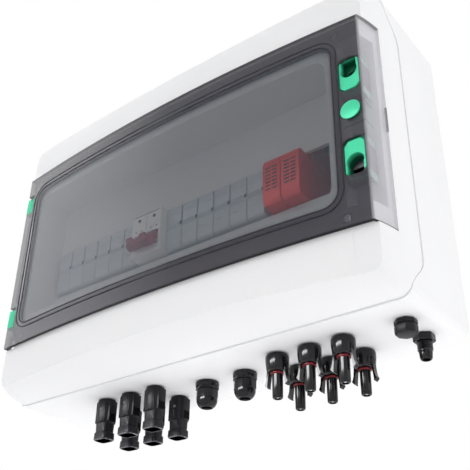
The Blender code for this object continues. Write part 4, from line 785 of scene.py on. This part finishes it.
@dataclass
class Enclosure:
    """White base and cover, their gasket and screws, the rail, its brackets and the bars."""

    edge: float = 0.45
    squeeze: float = 0.3
    screws: int = 4

    def build(self, shop: Workshop) -> None:
        """Dress the enclosure's nodes.

        Args:
            shop: workshop that makes the pieces.
        """
        shop.dressed("rear_base", WHITE_ABS, self.edge)
        shop.dressed("front_cover", WHITE_ABS, self.edge)
        self.gasket(shop)
        shop.keep([f"cover_screw_{number}" for number in range(1, self.screws + 1)], ZINC_STEEL)
        shop.keep(["din_rail", "rail_bracket_left", "rail_bracket_right"], ZINC_STEEL)
        shop.keep(["string_busbar"], COPPER)
        shop.keep(["earth_bar"], BRASS)

    def gasket(self, shop: Workshop) -> None:
        """Swell the foam gasket against the base and the cover, as it is when they are screwed together.

        Args:
            shop: workshop that makes the pieces.
        """
        foam = shop.dressed("cover_gasket", PALE_FOAM, 0.0)
        swell = foam.modifiers.new("swell", "DISPLACE")
        swell.mid_level = 0.0
        swell.strength = self.squeeze * MM


@dataclass
class Door:
    """Smoked door with its seal, hinge clips, pinch latches, lock cap and the lock housing behind it.

    The forms of a latch and the fins of the lock are placed from its middle, the slot and the clip faces from the
    middle of the box, and all depths from the wall.
    """

    edge: float = 0.3
    latch_x: float = 183.0
    latch_z: float = 38.5
    guide: Form = Form((8.75, 9.1), (-126.2, -113.4), (-11.0, 11.0))
    cheek: Form = Form((8.7, 8.74), (-126.6, -113.3), (-18.0, 18.0))
    grip_offset: float = 4.2
    grip_end: float = 16.0
    grip_radius: float = 6.9
    grip_floor: float = -120.2
    grip_thickness: float = 0.3
    lock_z: float = 2.5
    fin_offset: float = 9.5
    fin: Form = Form((-9.0, 8.6), (-126.6, -125.9), (-0.25, 0.25))
    fin_return: Form = Form((8.6, 9.0), (-126.0, -114.0), (-0.2, 0.2))
    flange_slot: Form = Form((198.6, 200.3), (-106.5, -105.7), (-11.4, 11.4))
    clip_z: float = 64.5
    clip_face: Form = Form((-197.4, -186.0), (-128.6, -122.0), (-9.8, 9.8), 1.5)
    rim_offsets: Span = (-0.6, 3.8)
    rim_width: float = 0.8
    rim_rise: float = 0.3
    rim_sink: float = 0.2
    rim_least: float = 0.005
    rim_arc: int = 9
    rim_runs: tuple[int, int] = (60, 8)
    ray_start: float = -200.0

    def build(self, shop: Workshop) -> None:
        """Dress the door and what is on it.

        Args:
            shop: workshop that makes the pieces.
        """
        shop.dressed("door", SMOKED_DOOR, 0.0)
        shop.keep(["door_seal"], SEAL_RUBBER)
        for name, offset in zip(("inner", "outer"), self.rim_offsets):
            shop.piece(f"window_rim_{name}", self.rim(shop, offset), "door", SMOKED_RIM)
        shop.dressed("lock_cap", GREEN_NYLON, self.edge)
        for level in Level:
            shop.dressed(f"latch_{level.label}", LATCH_NYLON, self.edge)
        # The hinge clips' darker green is painted shade from the door
        for level in Level:
            place = (0.0, 0.0, level.value * self.clip_z)
            shop.dressed(f"hinge_clip_{level.label}", SHADED_CLIP_NYLON, self.edge,
                         lambda shape, at=place: self.clip_face.add(shape, at))
        for level in Level:
            self.latch_sides(shop, level)
        fins = bmesh.new()
        for offset in (-self.fin_offset, self.fin_offset):
            for form in (self.fin, self.fin_return):
                form.add(fins, (self.latch_x, 0.0, self.lock_z + offset))
        shop.piece("lock_fins", fins, "door", HOUSING_AND_SHADE_NYLON)
        # A flush dark block in the gap at the flange's end: painted shade of the slot
        slot = bmesh.new()
        self.flange_slot.add(slot, (0.0, 0.0, self.lock_z))
        shop.piece("flange_slot", slot, "door", HOUSING_AND_SHADE_NYLON)

    def rim(self, shop: Workshop, offset: float) -> Shape:
        """Make a thin raised line that follows the door's window on its curved front.

        Args:
            shop: workshop that knows the CAD door.
            offset: distance outside the edge of the window.

        Returns:
            The bmesh of the line.
        """
        solid = bmesh.new()
        solid.from_mesh(shop.frame["nodes"]["door"].data)
        front = BVHTree.FromBMesh(solid)
        solid.free()
        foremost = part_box("door")[0].y
        shape = bmesh.new()
        loops = []
        left, right = around(offset, self.rim_width / 2)
        for out, rise in ((left, -self.rim_sink), (left, self.rim_rise), (right, self.rim_rise),
                          (right, -self.rim_sink)):
            grow = out * MM
            half = [side + grow for side in SMOKED_DOOR.window_half]
            outline = rounded_outline(half, SMOKED_DOOR.window_radius + grow, self.rim_arc, self.rim_runs)
            verts = bmesh.ops.create_circle(shape, cap_ends=False, radius=1.0, segments=len(outline))["verts"]
            for vert, (across, up) in zip(verts, outline):
                start = Vector((SMOKED_DOOR.window_x + across, self.ray_start * MM, up))
                place = front.ray_cast(start, Vector((0.0, 1.0, 0.0)))[0]
                lift = min(rise * MM, place.y - foremost + self.rim_least * MM)
                vert.co = place - Vector((0.0, lift, 0.0))
            loops.append(edges_of(verts))
        for near, far in zip(loops, loops[1:] + loops[:1]):
            bmesh.ops.bridge_loops(shape, edges=near + far)
        return shape

    def latch_sides(self, shop: Workshop, level: Level) -> None:
        """Give a latch its grey guide, the paler side that shows through the flange, and a dark floor in its grip as
        painted shade.

        Args:
            shop: workshop that makes the pieces.
            level: which of the two latches.
        """
        node = f"latch_{level.label}"
        middle = level.value * self.latch_z
        for name, form, finish in (("guide", self.guide, GUIDE_NYLON), ("cheek", self.cheek, PALE_NYLON)):
            shape = bmesh.new()
            form.add(shape, (self.latch_x, 0.0, middle))
            shop.piece(f"{node}_{name}", shape, node, finish)
        # The grip's floor is a thin dark sheet: painted shade inside the grip
        well = bmesh.new()
        grip_z = middle + level.value * self.grip_offset
        drum(well, (self.latch_x, self.grip_floor, grip_z), self.grip_radius, self.grip_thickness, "X")
        low, high = sorted((grip_z, middle + level.value * self.grip_end))
        block(well, around(self.latch_x, self.grip_radius), around(self.grip_floor, self.grip_thickness / 2),
              (low, high))
        shop.piece(node + "_grip_floor", well, node, GRIP_SHADE_GREEN if level is Level.UPPER else HOUSING_AND_SHADE_NYLON)


@dataclass
class FuseBank:
    """Six fuse holders' poles in a row: pale carriers with a finger lip, grip ridges and a dark catch.

    The forms are placed from a pole's left side, the front and the middle of the row.
    """

    side: Side
    left: float
    edge: float = 0.3
    module: float = 18.0
    front: float = -98.0
    row_z: float = -9.0
    poles: int = 6
    holders: int = 3
    lip: Form = Form((2.0, 13.0), (-1.1, 0.5), (2.2, 4.0), 0.4)
    lower_ridge: Form = Form((3.0, 14.5), (-0.35, 0.4), (12.5, 13.6), 0.15)
    upper_ridge: Form = Form((3.0, 14.5), (-0.35, 0.4), (15.0, 16.1), 0.15)
    foot_ridge: Form = Form((3.0, 10.0), (-0.4, 0.4), (-10.2, -9.2), 0.15)
    catch: Form = Form((15.0, 17.7), (-0.12, 0.3), (1.2, 4.4), 0.05)
    shadow_line: Form = Form((17.4, 17.7), (-0.06, 0.3), (4.0, 21.0))

    def build(self, shop: Workshop) -> None:
        """Dress the holders and carriers of one bank.

        Args:
            shop: workshop that makes the pieces.
        """
        shop.keep([f"fuse_holder_{self.side.value}_{number}" for number in range(1, self.holders + 1)], DEVICE_GREY)
        for number in range(1, self.poles + 1):
            place = (self.left + (number - 1) * self.module, self.front, self.row_z)
            node = f"fuse_carrier_{self.side.value}_{number}"
            shop.dressed(node, DEVICE_GREY, self.edge, lambda shape, at=place: self.relief(shape, at))
            # The marks hold the dark catch and a painted shadow line at the carrier's side
            marks = bmesh.new()
            for form in (self.catch, self.shadow_line):
                form.add(marks, place)
            shop.piece(node + "_marks", marks, node, CATCH_AND_SHADOW_POLYAMIDE)

    def relief(self, shape: Shape, place: Point) -> None:
        """Add the finger lip, the two ridges above it and the ridge at the foot to a carrier."""
        for form in (self.lip, self.lower_ridge, self.upper_ridge, self.foot_ridge):
            form.add(shape, place)


@dataclass
class Breaker:
    """Two-pole breaker: white body with screw holes, and a tied pair of toggles that hangs in the off position.

    The forms of the body are placed from its left side, its front and the middle of the row, those of the toggles
    from the middle of a lobe, its tip and the axis. A hole has a place across, a place up and a radius.
    """

    left: float = -62.0
    width: float = 36.0
    front: float = -106.0
    row_z: float = -9.0
    edge: float = 0.4
    holes: tuple[Point, ...] = ((9.0, 15.5, 1.7), (27.0, 15.5, 1.7), (31.5, -14.0, 0.9))
    hole_depth: float = 0.6
    hole_sink: float = 0.2
    hole_sides: int = 24
    top_line: Form = Form((3.0, 33.0), (-0.06, 0.4), (20.3, 20.9))
    pole_line: Form = Form((17.85, 18.15), (-0.06, 0.4), (2.0, 22.0))
    tick: Form = Form((0.0, 1.2), (-0.06, 0.4), (3.0, 4.4))
    tick_places: tuple[float, ...] = (5.0, 12.0, 23.0, 30.0)
    raised_frame: Form = Form((0.0, 10.0), (-0.5, 0.5), (4.5, 11.0), 0.3)
    frame_places: Span = (4.0, 22.0)
    axis_y: float = -103.5
    axis_z: float = -15.0
    rest_deg: float = 42.0
    sharp_deg: float = 40.0
    hub_radius: float = 4.9
    hub_length: float = 28.6
    lobe_places: Span = (-8.0, 8.0)
    lobe: Form = Form((-5.0, 5.0), (0.0, 15.5), (-4.7, 4.7), 1.4)
    tie: Form = Form((-14.2, 14.2), (0.0, 8.5), (-3.3, 3.3), 1.2)
    hump: Form = Form((-4.0, 3.0), (0.4, 3.4), (0.0, 7.9), 1.2)

    def build(self, shop: Workshop) -> None:
        """Dress the body, paint shade into its screw holes, mark its lines, and build the tied toggles.

        Args:
            shop: workshop that makes the pieces.
        """
        shop.dressed("breaker_body", DEVICE_WHITE, self.edge, self.relief)
        marks = bmesh.new()
        # Each screw hole is a flush dark disc: painted shade of the hole
        for across, up, radius in self.holes:
            drum(marks, (self.left + across, self.front + self.hole_sink, self.row_z + up), radius, self.hole_depth,
                 "X", self.hole_sides)
        for form in (self.top_line, self.pole_line):
            form.add(marks, (self.left, self.front, self.row_z))
        for across in self.tick_places:
            self.tick.add(marks, (self.left + across, self.front, self.row_z))
        shop.piece("breaker_marks", marks, shop.body_of["breaker_body"], HOLE_SHADE_AND_LINES)
        self.toggles(shop)

    def relief(self, shape: Shape) -> None:
        """Add the raised frame above each toggle to the body."""
        for across in self.frame_places:
            self.raised_frame.add(shape, (self.left + across, self.front, self.row_z))

    def toggles(self, shop: Workshop) -> None:
        """Build two lobes on a hub, joined by a tie bar, and turn them to the off position.

        Args:
            shop: workshop that makes the pieces.
        """
        shape = bmesh.new()
        middle = self.left + self.width / 2
        drum(shape, (middle, self.axis_y, self.axis_z), self.hub_radius, self.hub_length, "Y")
        tip = self.axis_y - self.lobe.deep[1]
        for across in self.lobe_places:
            self.lobe.add(shape, (middle + across, tip, self.axis_z))
        self.tie.add(shape, (middle, tip, self.axis_z))
        for across in self.lobe_places:
            self.hump.add(shape, (middle + across, tip, self.axis_z))
        bmesh.ops.rotate(shape, verts=shape.verts, cent=(0.0, self.axis_y * MM, self.axis_z * MM),
                         matrix=Matrix.Rotation(math.radians(self.rest_deg), 3, "X"))
        shop.piece("breaker_toggle_pair", shape, "breaker_toggle", HANDLE_RED, ["breaker_toggle"], self.sharp_deg)


@dataclass
class SurgeArrester:
    """Two red plug-in cartridges with cooling slots and finger notches in painted shade, on a red base.

    The forms are placed from a cartridge's left side, its front and the middle of the row.
    """

    left: float = 86.0
    module: float = 18.0
    front: float = -107.0
    row_z: float = -9.0
    edge: float = 0.3
    cartridges: int = 2
    slot_rows: int = 7
    slot_pitch: float = 3.5
    left_slot: Form = Form((3.2, 8.4), (-0.05, 0.3), (12.0, 13.6))
    right_slot: Form = Form((9.8, 14.6), (-0.05, 0.3), (12.0, 13.6))
    notch: Form = Form((4.0, 12.0), (3.2, 7.0), (22.2, 22.56))

    def build(self, shop: Workshop) -> None:
        """Dress the base and the cartridges.

        Args:
            shop: workshop that makes the pieces.
        """
        shop.keep(["surge_base"], SURGE_RED)
        for number in range(1, self.cartridges + 1):
            node = f"surge_cartridge_{number}"
            left = self.left + (number - 1) * self.module
            shop.dressed(node, SURGE_RED, self.edge)
            # Flush dark marks: painted shade of the slots and the notch
            marks = bmesh.new()
            for row in range(self.slot_rows):
                for slot in (self.left_slot, self.right_slot):
                    slot.add(marks, (left, self.front, self.row_z - row * self.slot_pitch))
            self.notch.add(marks, (left, self.front, self.row_z))
            shop.piece(node + "_slots", marks, node, SLOT_SHADE_RED)


@dataclass
class Fitting:
    """Fitting in the enclosure's floor: the place where it leaves the floor, in metres."""

    x: float
    y: float
    top: float

    @property
    def place(self) -> Point:
        """Return the place in metres."""
        return self.x, self.y, self.top

    def on_both_sides(self, shape: Shape, form: Form) -> None:
        """Add a form and its mirror image to a bmesh."""
        for one in (form.mirrored(), form):
            one.add(shape, [value / MM for value in self.place])


@dataclass
class SolarSocket(Fitting):
    """Panel socket: round collar with a panel on each side, square neck and flared mouth."""

    number: int
    panel: Form = Form((5.0, 8.75), (-4.6, 4.6), (-21.6, -2.2), 0.5)
    side_slot: Form = Form((7.6, 8.85), (-3.7, 3.7), (-21.0, -14.2))
    ridge_angles: tuple[float, ...] = (-52.0, -128.0, 52.0, 128.0)
    ridge_out: float = 8.3
    ridge_sizes: tuple[Span, ...] = ((3.0, 0.4), (3.6, 0.7), (21.4, 0.7), (22.0, 0.4))
    ridge_sides: int = 8
    gate_radius: float = 1.3
    gate_sides: tuple[int, int] = (16, 10)
    gate_offset: Point = (1.4, -7.8, -10.5)

    def build(self, shop: Workshop) -> None:
        """Loft the socket, and add its side panels, ridges, gate mark and rim with painted highlights, and side slots
        in painted shade.

        Args:
            shop: workshop that makes the pieces.
        """
        node = f"pv_socket_{self.number}"
        body = shop.body_of[node]
        collar = profile(Section.ROUND, (0.3, 6.9), (0.7, 7.8), (1.5, 8.1), (3.2, 8.4), (12.0, 8.4), (21.4, 8.2),
                         (22.3, 7.8))
        neck = profile(Section.SQUARE, (22.8, 6.7, 6.4), (30.2, 6.4, 6.1))
        mouth = profile(Section.SQUARE, (31.4, 7.7, 6.6), (36.9, 7.8, 6.8), (37.6, 7.2, 6.2), (37.7, 6.1, 5.2),
                        (37.0, 5.6, 4.9))
        bore = profile(Section.ROUND, (35.5, 4.5), (18.0, 4.5))
        shape = bmesh.new()
        loft(shape, back_nut(10.0, 6.0) + collar + neck + mouth + bore, self.place)
        self.on_both_sides(shape, self.panel)
        for angle in self.ridge_angles:
            across = math.radians(angle)
            shift = (self.ridge_out * math.cos(across), self.ridge_out * math.sin(across))
            ridge = [Ring(drop, half, shift=shift) for drop, half in self.ridge_sizes]
            loft(shape, ridge, self.place, self.ridge_sides)
        shop.fitting(f"solar_socket_{self.number}", shape, node, SATIN_NYLON)
        # The gate mark and the mouth rim are real forms, drawn paler as painted highlights
        highlight_marks = bmesh.new()
        gate = bmesh.ops.create_uvsphere(highlight_marks, u_segments=self.gate_sides[0], v_segments=self.gate_sides[1],
                                         radius=self.gate_radius * MM)["verts"]
        bmesh.ops.translate(highlight_marks, verts=gate, vec=Vector(self.place) + Vector(self.gate_offset) * MM)
        rim = profile(Section.SQUARE, (37.1, 7.76, 6.76), (37.78, 7.28, 6.28), (37.78, 6.75, 5.75), (37.1, 6.75, 5.75))
        lip = profile(Section.ROUND, (36.2, 5.3), (36.7, 5.1), (36.7, 4.2), (36.2, 4.2))
        for rings in (rim, lip):
            loft(highlight_marks, rings, self.place, ring_shaped=True)
        shop.piece(f"socket_gate_and_rim_{self.number}", highlight_marks, body, HIGHLIGHT_NYLON)
        # The side slots are flush dark blocks: painted shade of the slots
        slots = bmesh.new()
        self.on_both_sides(slots, self.side_slot)
        shop.piece(f"socket_slots_{self.number}", slots, body, SLOT_SHADE_NYLON)


@dataclass
class SolarPlug(Fitting):
    """Panel plug: barrel collar, red seal, pin sleeve and two barbed arms.

    A section of an arm has a drop, a distance from the middle and a half thickness.
    """

    number: int
    arm_sections: tuple[Point, ...] = (
        (10.6, 7.6, 0.8), (15.0, 7.7, 0.85), (19.6, 8.2, 0.75), (22.4, 8.8, 0.9), (24.2, 9.3, 1.3), (25.0, 9.2, 0.95),
        (26.5, 8.4, 0.4))
    arm_half_depth: float = 2.5
    seal_drop: float = 15.9
    seal_radius: float = 4.6
    seal_thickness: float = 0.95
    contact_sides: int = 16

    def build(self, shop: Workshop) -> None:
        """Loft the plug, its arms, its seal and its contact.

        Args:
            shop: workshop that makes the pieces.
        """
        node = f"pv_plug_{self.number}"
        body = shop.body_of[node]
        barrel = profile(Section.ROUND, (0.3, 7.2), (0.6, 8.1), (1.1, 8.75), (1.8, 9.22), (2.6, 9.45), (3.4, 9.5),
                         (5.4, 9.45), (7.5, 9.35), (8.4, 9.24), (12.6, 8.66), (13.7, 8.3), (14.5, 7.4), (14.9, 6.2),
                         (15.0, 5.2), (14.6, 4.4))
        sleeve = profile(Section.ROUND, (17.0, 4.3), (35.2, 4.1), (36.1, 3.7), (36.4, 3.2), (36.3, 2.6), (34.6, 2.4),
                         (19.0, 2.4))
        shape = bmesh.new()
        loft(shape, back_nut(10.0, 6.0) + barrel + sleeve, self.place)
        for side in (-1, 1):
            arm = [Ring(drop, half, self.arm_half_depth, Section.BOX, (side * out, 0.0))
                   for drop, out, half in self.arm_sections]
            loft(shape, arm, self.place, Section.BOX.value, math.pi / 4)
        shop.fitting(f"solar_plug_{self.number}", shape, node, BLACK_NYLON)
        seal = bmesh.new()
        ring_tube(seal, (self.x, self.y, self.top - self.seal_drop * MM), self.seal_radius, self.seal_thickness)
        shop.piece(f"plug_seal_{self.number}", seal, body, RED_SILICONE)
        pin = bmesh.new()
        loft(pin, profile(Section.ROUND, (19.4, 1.5), (34.6, 1.5), (35.6, 1.1)), self.place, self.contact_sides)
        shop.piece(f"plug_contact_{self.number}", pin, body, ZINC_STEEL)


@dataclass
class CableGland(Fitting):
    """Cable gland: flanged body with a hexagon, and a faceted dome nut."""

    side: Side

    def build(self, shop: Workshop) -> None:
        """Loft the body and its dome nut.

        Args:
            shop: workshop that makes the pieces.
        """
        flange = profile(Section.ROUND, (0.3, 9.2), (0.7, 10.0), (1.4, 10.3), (4.4, 10.1), (5.2, 9.6))
        hexagon = profile(Section.HEXAGON, (5.4, 9.0), (6.8, 9.0), (7.1, 8.6))
        thread_and_bore = profile(Section.ROUND, (7.1, 6.3), (16.7, 6.3), (16.7, 4.4), (-7.8, 4.4))
        shape = bmesh.new()
        loft(shape, back_nut(9.3, 7.6, Section.HEXAGON) + flange + hexagon + thread_and_bore, self.place,
             ring_shaped=True)
        side = self.side.value
        shop.fitting(f"cable_gland_body_{side}", shape, f"gland_body_{side}", BLACK_NYLON)
        facets = profile(Section.OCTAGON, (7.4, 8.7), (7.8, 9.1), (14.6, 9.0), (15.0, 8.6))
        dome = profile(Section.ROUND, (15.3, 9.0), (16.6, 9.0), (18.4, 8.7), (20.4, 7.8), (21.9, 6.6), (22.8, 5.5),
                       (22.9, 4.9), (22.2, 4.5))
        inside = profile(Section.ROUND, (17.1, 4.4), (17.0, 6.6), (7.4, 6.6))
        nut = bmesh.new()
        loft(nut, facets + dome + inside, self.place, ring_shaped=True)
        shop.fitting(f"cable_gland_nut_{side}", nut, f"gland_nut_{side}", BLACK_NYLON)


@dataclass
class VentPlug(Fitting):
    """Eight-sided vent plug with a groove round its cap."""

    def build(self, shop: Workshop) -> None:
        """Loft the plug.

        Args:
            shop: workshop that makes the pieces.
        """
        cap = profile(Section.OCTAGON, (0.3, 7.4), (0.8, 7.9), (3.8, 8.0), (4.1, 7.2), (4.9, 7.2), (5.2, 8.0),
                      (10.2, 7.9), (11.1, 7.4), (11.6, 6.4))
        shape = bmesh.new()
        loft(shape, back_nut(7.3, 4.6) + cap, self.place)
        shop.fitting("vent_plug_cap", shape, "vent_plug", SATIN_NYLON)


@dataclass
class EarthGland(Fitting):
    """Small gland for the earth lead: hexagon, thread and slit clamping fingers."""

    thread_start: float = 6.3
    thread_turns: int = 5
    thread_pitch: float = 1.4
    thread_sizes: tuple[Span, ...] = ((0.0, 5.2), (0.42, 5.8), (0.7, 5.8), (1.12, 5.2))
    slit_drops: Span = (13.9, 19.7)
    slit_least_out: float = 3.9
    slit_pitch_deg: float = 45.0
    slit_deg: float = 7.5
    slit_margin: float = 0.1
    slit_depth: float = 0.9

    def build(self, shop: Workshop) -> None:
        """Loft the gland and sink its slits.

        Args:
            shop: workshop that makes the pieces.
        """
        hexagon = profile(Section.HEXAGON, (0.3, 6.9), (0.9, 7.5), (5.4, 7.5), (6.0, 6.9))
        thread = profile(Section.ROUND, (6.0, 5.2))
        for turn in range(self.thread_turns):
            start = self.thread_start + turn * self.thread_pitch
            thread += [Ring(start + drop, half) for drop, half in self.thread_sizes]
        fingers = profile(Section.ROUND, (13.6, 5.1), (14.0, 5.1), (18.6, 4.6), (19.6, 4.2), (20.0, 3.6), (19.6, 3.1),
                          (7.0, 3.0))
        gland = bmesh.new()
        loft(gland, back_nut(8.2, 5.7) + hexagon + thread + fingers, self.place)
        recess(gland, [face for face in gland.faces if self.on_slit(face)], self.slit_margin, self.slit_depth)
        shop.fitting("earth_gland_body", gland, "earth_gland", BLACK_NYLON)

    def on_slit(self, face: bmesh.types.BMFace) -> bool:
        """Tell the slits between the clamping fingers from the rest.

        Args:
            face: a face of the gland.

        Returns:
            True for a face in a slit.
        """
        offset = (face.calc_center_median() - Vector(self.place)) / MM
        angle = math.degrees(math.atan2(offset.y, offset.x)) % self.slit_pitch_deg
        low, high = self.slit_drops
        return low < -offset.z < high and math.hypot(offset.x, offset.y) > self.slit_least_out and angle < self.slit_deg


@dataclass
class Underside:
    """The fittings in the enclosure's floor: where the floor is, in metres, and where they sit in it."""

    floor: float
    socket_x: float = -117.4
    plug_x: float = 70.5
    column_pitch: float = 29.6
    columns: int = 3
    rows: Span = (-65.0, -32.5)
    gland_left_x: float = -13.3
    gland_right_x: float = 26.8
    gland_y: float = -48.3
    vent_x: float = 180.7
    vent_y: float = -65.0
    earth_y: float = -33.8

    def build(self, shop: Workshop) -> None:
        """Build the sockets, the plugs, the cable glands, the vent and the earth gland.

        Args:
            shop: workshop that makes the pieces.
        """
        for connector, first_x in ((SolarSocket, self.socket_x), (SolarPlug, self.plug_x)):
            places = [(first_x + column * self.column_pitch, y) for y in self.rows for column in range(self.columns)]
            for number, (x, y) in enumerate(places, 1):
                connector(x * MM, y * MM, self.floor, number).build(shop)
        for side, x in ((Side.LEFT, self.gland_left_x), (Side.RIGHT, self.gland_right_x)):
            CableGland(x * MM, self.gland_y * MM, self.floor, side).build(shop)
        VentPlug(self.vent_x * MM, self.vent_y * MM, self.floor).build(shop)
        EarthGland(self.vent_x * MM, self.earth_y * MM, self.floor).build(shop)


@dataclass(frozen=True)
class Softbox:
    """Oblong lamp: its place, the point that it faces and its size in metres, and its power in watts."""

    name: str
    place: Point
    aim: Point
    size: Span
    power: float

    def build(self) -> None:
        """Add the lamp to the scene."""
        light = bpy.data.lights.new(self.name, "AREA")
        light.shape = "RECTANGLE"
        light.size, light.size_y = self.size
        light.energy = self.power
        lamp = bpy.data.objects.new(self.name, light)
        lamp.location = self.place
        lamp.rotation_mode = "QUATERNION"
        lamp.rotation_quaternion = (Vector(self.aim) - Vector(self.place)).to_track_quat("-Z", "Y")
        bpy.context.scene.collection.objects.link(lamp)


@dataclass
class Studio:
    """Camera at the photograph's place, soft light, pale floor and white surroundings, in metres."""

    lens_mm: float = 57.23
    sensor_mm: float = 36.0
    nearest: float = 0.01
    shift: Span = (-0.0463, 0.1101)
    eye: Point = (0.37435, -0.51912, -0.36863)
    look: Point = (-0.51389, 0.72101, 0.46481)
    side_lamp: Softbox = Softbox("side_softbox", (1.7, 0.0, 0.4), (0.1, -0.07, 0.0), (1.2, 1.2), 3.4)
    low_lamp: Softbox = Softbox("low_softbox", (0.0, 0.0, -0.74), (0.0, -0.07, -0.14), (2.6, 2.0), 9.0)
    floor_z: float = -0.75
    floor_half: float = 30.0
    floor_colour: str = "#F8F8F8"
    floor_drift: str = "#F5F5F5"
    floor_drift_mm: float = 400.0
    floor_roughness: float = 0.8
    floor_lift: float = 0.14
    ambient: float = 0.86
    card_direction: Point = (-0.84, -0.28, 0.46)
    card_fade: Span = (0.88, 0.995)
    card_strength: float = 1.8
    panel_from: Span = (-0.64, -0.77)
    panel_to: Span = (0.2, -0.98)
    panel_heights: Span = (0.12, 0.425)
    panel_soft: Span = (0.03, 0.012)
    panel_strength: float = 24.0

    def build(self) -> None:
        """Place the camera, the lamps, the floor and the world."""
        camera = bpy.data.cameras.new("camera")
        camera.lens = self.lens_mm
        camera.sensor_width = self.sensor_mm
        camera.shift_x, camera.shift_y = self.shift
        camera.clip_start = self.nearest
        eye = bpy.data.objects.new("camera", camera)
        eye.location = self.eye
        eye.rotation_mode = "QUATERNION"
        eye.rotation_quaternion = Vector(self.look).to_track_quat("-Z", "Y")
        bpy.context.scene.collection.objects.link(eye)
        bpy.context.scene.camera = eye
        self.side_lamp.build()
        self.low_lamp.build()
        self.floor()
        self.world()
        bpy.context.scene.view_settings.view_transform = "Standard"

    def floor(self) -> None:
        """Add the pale floor, lifted to white for the rays that show it."""
        shape = bmesh.new()
        bmesh.ops.create_grid(shape, x_segments=1, y_segments=1, size=self.floor_half)
        bmesh.ops.translate(shape, verts=shape.verts, vec=(0, 0, self.floor_z))
        mesh = bpy.data.meshes.new("floor")
        shape.to_mesh(mesh)
        shape.free()
        material, tree, place = new_tree("pale_floor")
        cloud = add_node(tree, "ShaderNodeTexNoise", inputs={
            "Vector": place, "Scale": per_metre(self.floor_drift_mm)})
        tone = add_node(tree, "ShaderNodeMix", {"data_type": "RGBA"}, {
            0: cloud.outputs["Fac"], 6: linear(self.floor_colour), 7: linear(self.floor_drift)})
        path = add_node(tree, "ShaderNodeLightPath")
        lift = add_node(tree, "ShaderNodeMath", {"operation": "MULTIPLY"}, {
            0: self.shown(tree, path), 1: self.floor_lift})
        shader = add_node(tree, "ShaderNodeBsdfPrincipled", inputs={
            "Base Color": tone.outputs[2], "Roughness": self.floor_roughness, "Emission Color": WHITE,
            "Emission Strength": lift.outputs[0]})
        close_tree(tree, shader.outputs["BSDF"])
        mesh.materials.append(material)
        floor = bpy.data.objects.new("floor", mesh)
        bpy.context.scene.collection.objects.link(floor)

    def shown(self, tree: Tree, path: bpy.types.Node) -> Socket:
        """Tell the rays that show the surroundings from those that only light the object.

        Args:
            tree: node tree of the floor or the world.
            path: its Light Path node.

        Returns:
            One for the eye, for gloss and through clear sheet, and nought for the rest.
        """
        total = path.outputs["Is Camera Ray"]
        for kind in ("Is Glossy Ray", "Is Transmission Ray"):
            total = add_node(tree, "ShaderNodeMath", {"operation": "ADD", "use_clamp": True}, {
                0: total, 1: path.outputs[kind]}).outputs[0]
        return total

    def world(self) -> None:
        """Make the surroundings white to the eye, soft light to the object, and brighter in places to gloss."""
        world = bpy.data.worlds.new("studio")
        world.use_nodes = True
        bpy.context.scene.world = world
        tree = world.node_tree
        tree.nodes.clear()
        path = add_node(tree, "ShaderNodeLightPath")
        strength = add_node(tree, "ShaderNodeMapRange", inputs={
            "Value": self.shown(tree, path), "To Min": self.ambient, "To Max": 1.0})
        way = add_node(tree, "ShaderNodeTexCoord")
        toward = add_node(tree, "ShaderNodeVectorMath", {"operation": "DOT_PRODUCT"}, {
            0: way.outputs["Generated"], 1: Vector(self.card_direction).normalized()})
        card = add_node(tree, "ShaderNodeMapRange", {"interpolation_type": "SMOOTHSTEP"}, {
            "Value": toward.outputs["Value"], "From Min": self.card_fade[0], "From Max": self.card_fade[1],
            "To Max": self.card_strength})
        shine = add_node(tree, "ShaderNodeMath", {"operation": "ADD"}, {
            0: card.outputs["Result"], 1: self.panel(tree, way.outputs["Generated"])})
        gloss = add_node(tree, "ShaderNodeMath", {"operation": "MULTIPLY"}, {
            0: shine.outputs[0], 1: path.outputs["Is Glossy Ray"]})
        total = add_node(tree, "ShaderNodeMath", {"operation": "ADD"}, {
            0: strength.outputs["Result"], 1: gloss.outputs[0]})
        light = add_node(tree, "ShaderNodeBackground", inputs={"Color": WHITE, "Strength": total.outputs[0]})
        add_node(tree, "ShaderNodeOutputWorld", inputs={"Surface": light.outputs["Background"]})

    def panel(self, tree: Tree, way: Socket) -> Socket:
        """Make the oblong lamp panel in front that gloss mirrors.

        Args:
            tree: node tree of the world.
            way: direction of the ray.

        Returns:
            The strength of the panel in that direction.
        """
        parts = add_node(tree, "ShaderNodeSeparateXYZ", inputs={"Vector": way})
        ahead = add_node(tree, "ShaderNodeMath", {"operation": "MULTIPLY"}, {0: parts.outputs["Y"], 1: -1.0})
        bearing = add_node(tree, "ShaderNodeMath", {"operation": "ARCTAN2"}, {
            0: parts.outputs["X"], 1: ahead.outputs[0]})
        left, right = (math.atan2(x, -y) for x, y in (self.panel_from, self.panel_to))
        low, high = self.panel_heights
        total: Union[float, Socket] = self.panel_strength
        for value, start, end, soft in ((bearing.outputs[0], left, right, self.panel_soft[0]),
                                        (parts.outputs["Z"], low, high, self.panel_soft[1])):
            for sign, limit in ((1.0, start), (-1.0, end)):
                edge = add_node(tree, "ShaderNodeMapRange", {"interpolation_type": "SMOOTHSTEP"}, {
                    "Value": value, "From Min": limit - sign * soft, "From Max": limit + sign * soft})
                total = add_node(tree, "ShaderNodeMath", {"operation": "MULTIPLY"}, {
                    0: total, 1: edge.outputs["Result"]}).outputs[0]
        return total


def main() -> None:
    """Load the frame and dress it."""
    logging.basicConfig(level=logging.INFO, format="%(message)s")
    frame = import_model()
    shop = Workshop(frame)
    for part in (Enclosure(), Door(), FuseBank(Side.LEFT, left=-170.0), FuseBank(Side.RIGHT, left=-26.0), Breaker(),
                 SurgeArrester(), Underside(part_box("rear_base")[0].z)):
        part.build(shop)
    Studio().build()


if __name__ == "__main__":
    main()
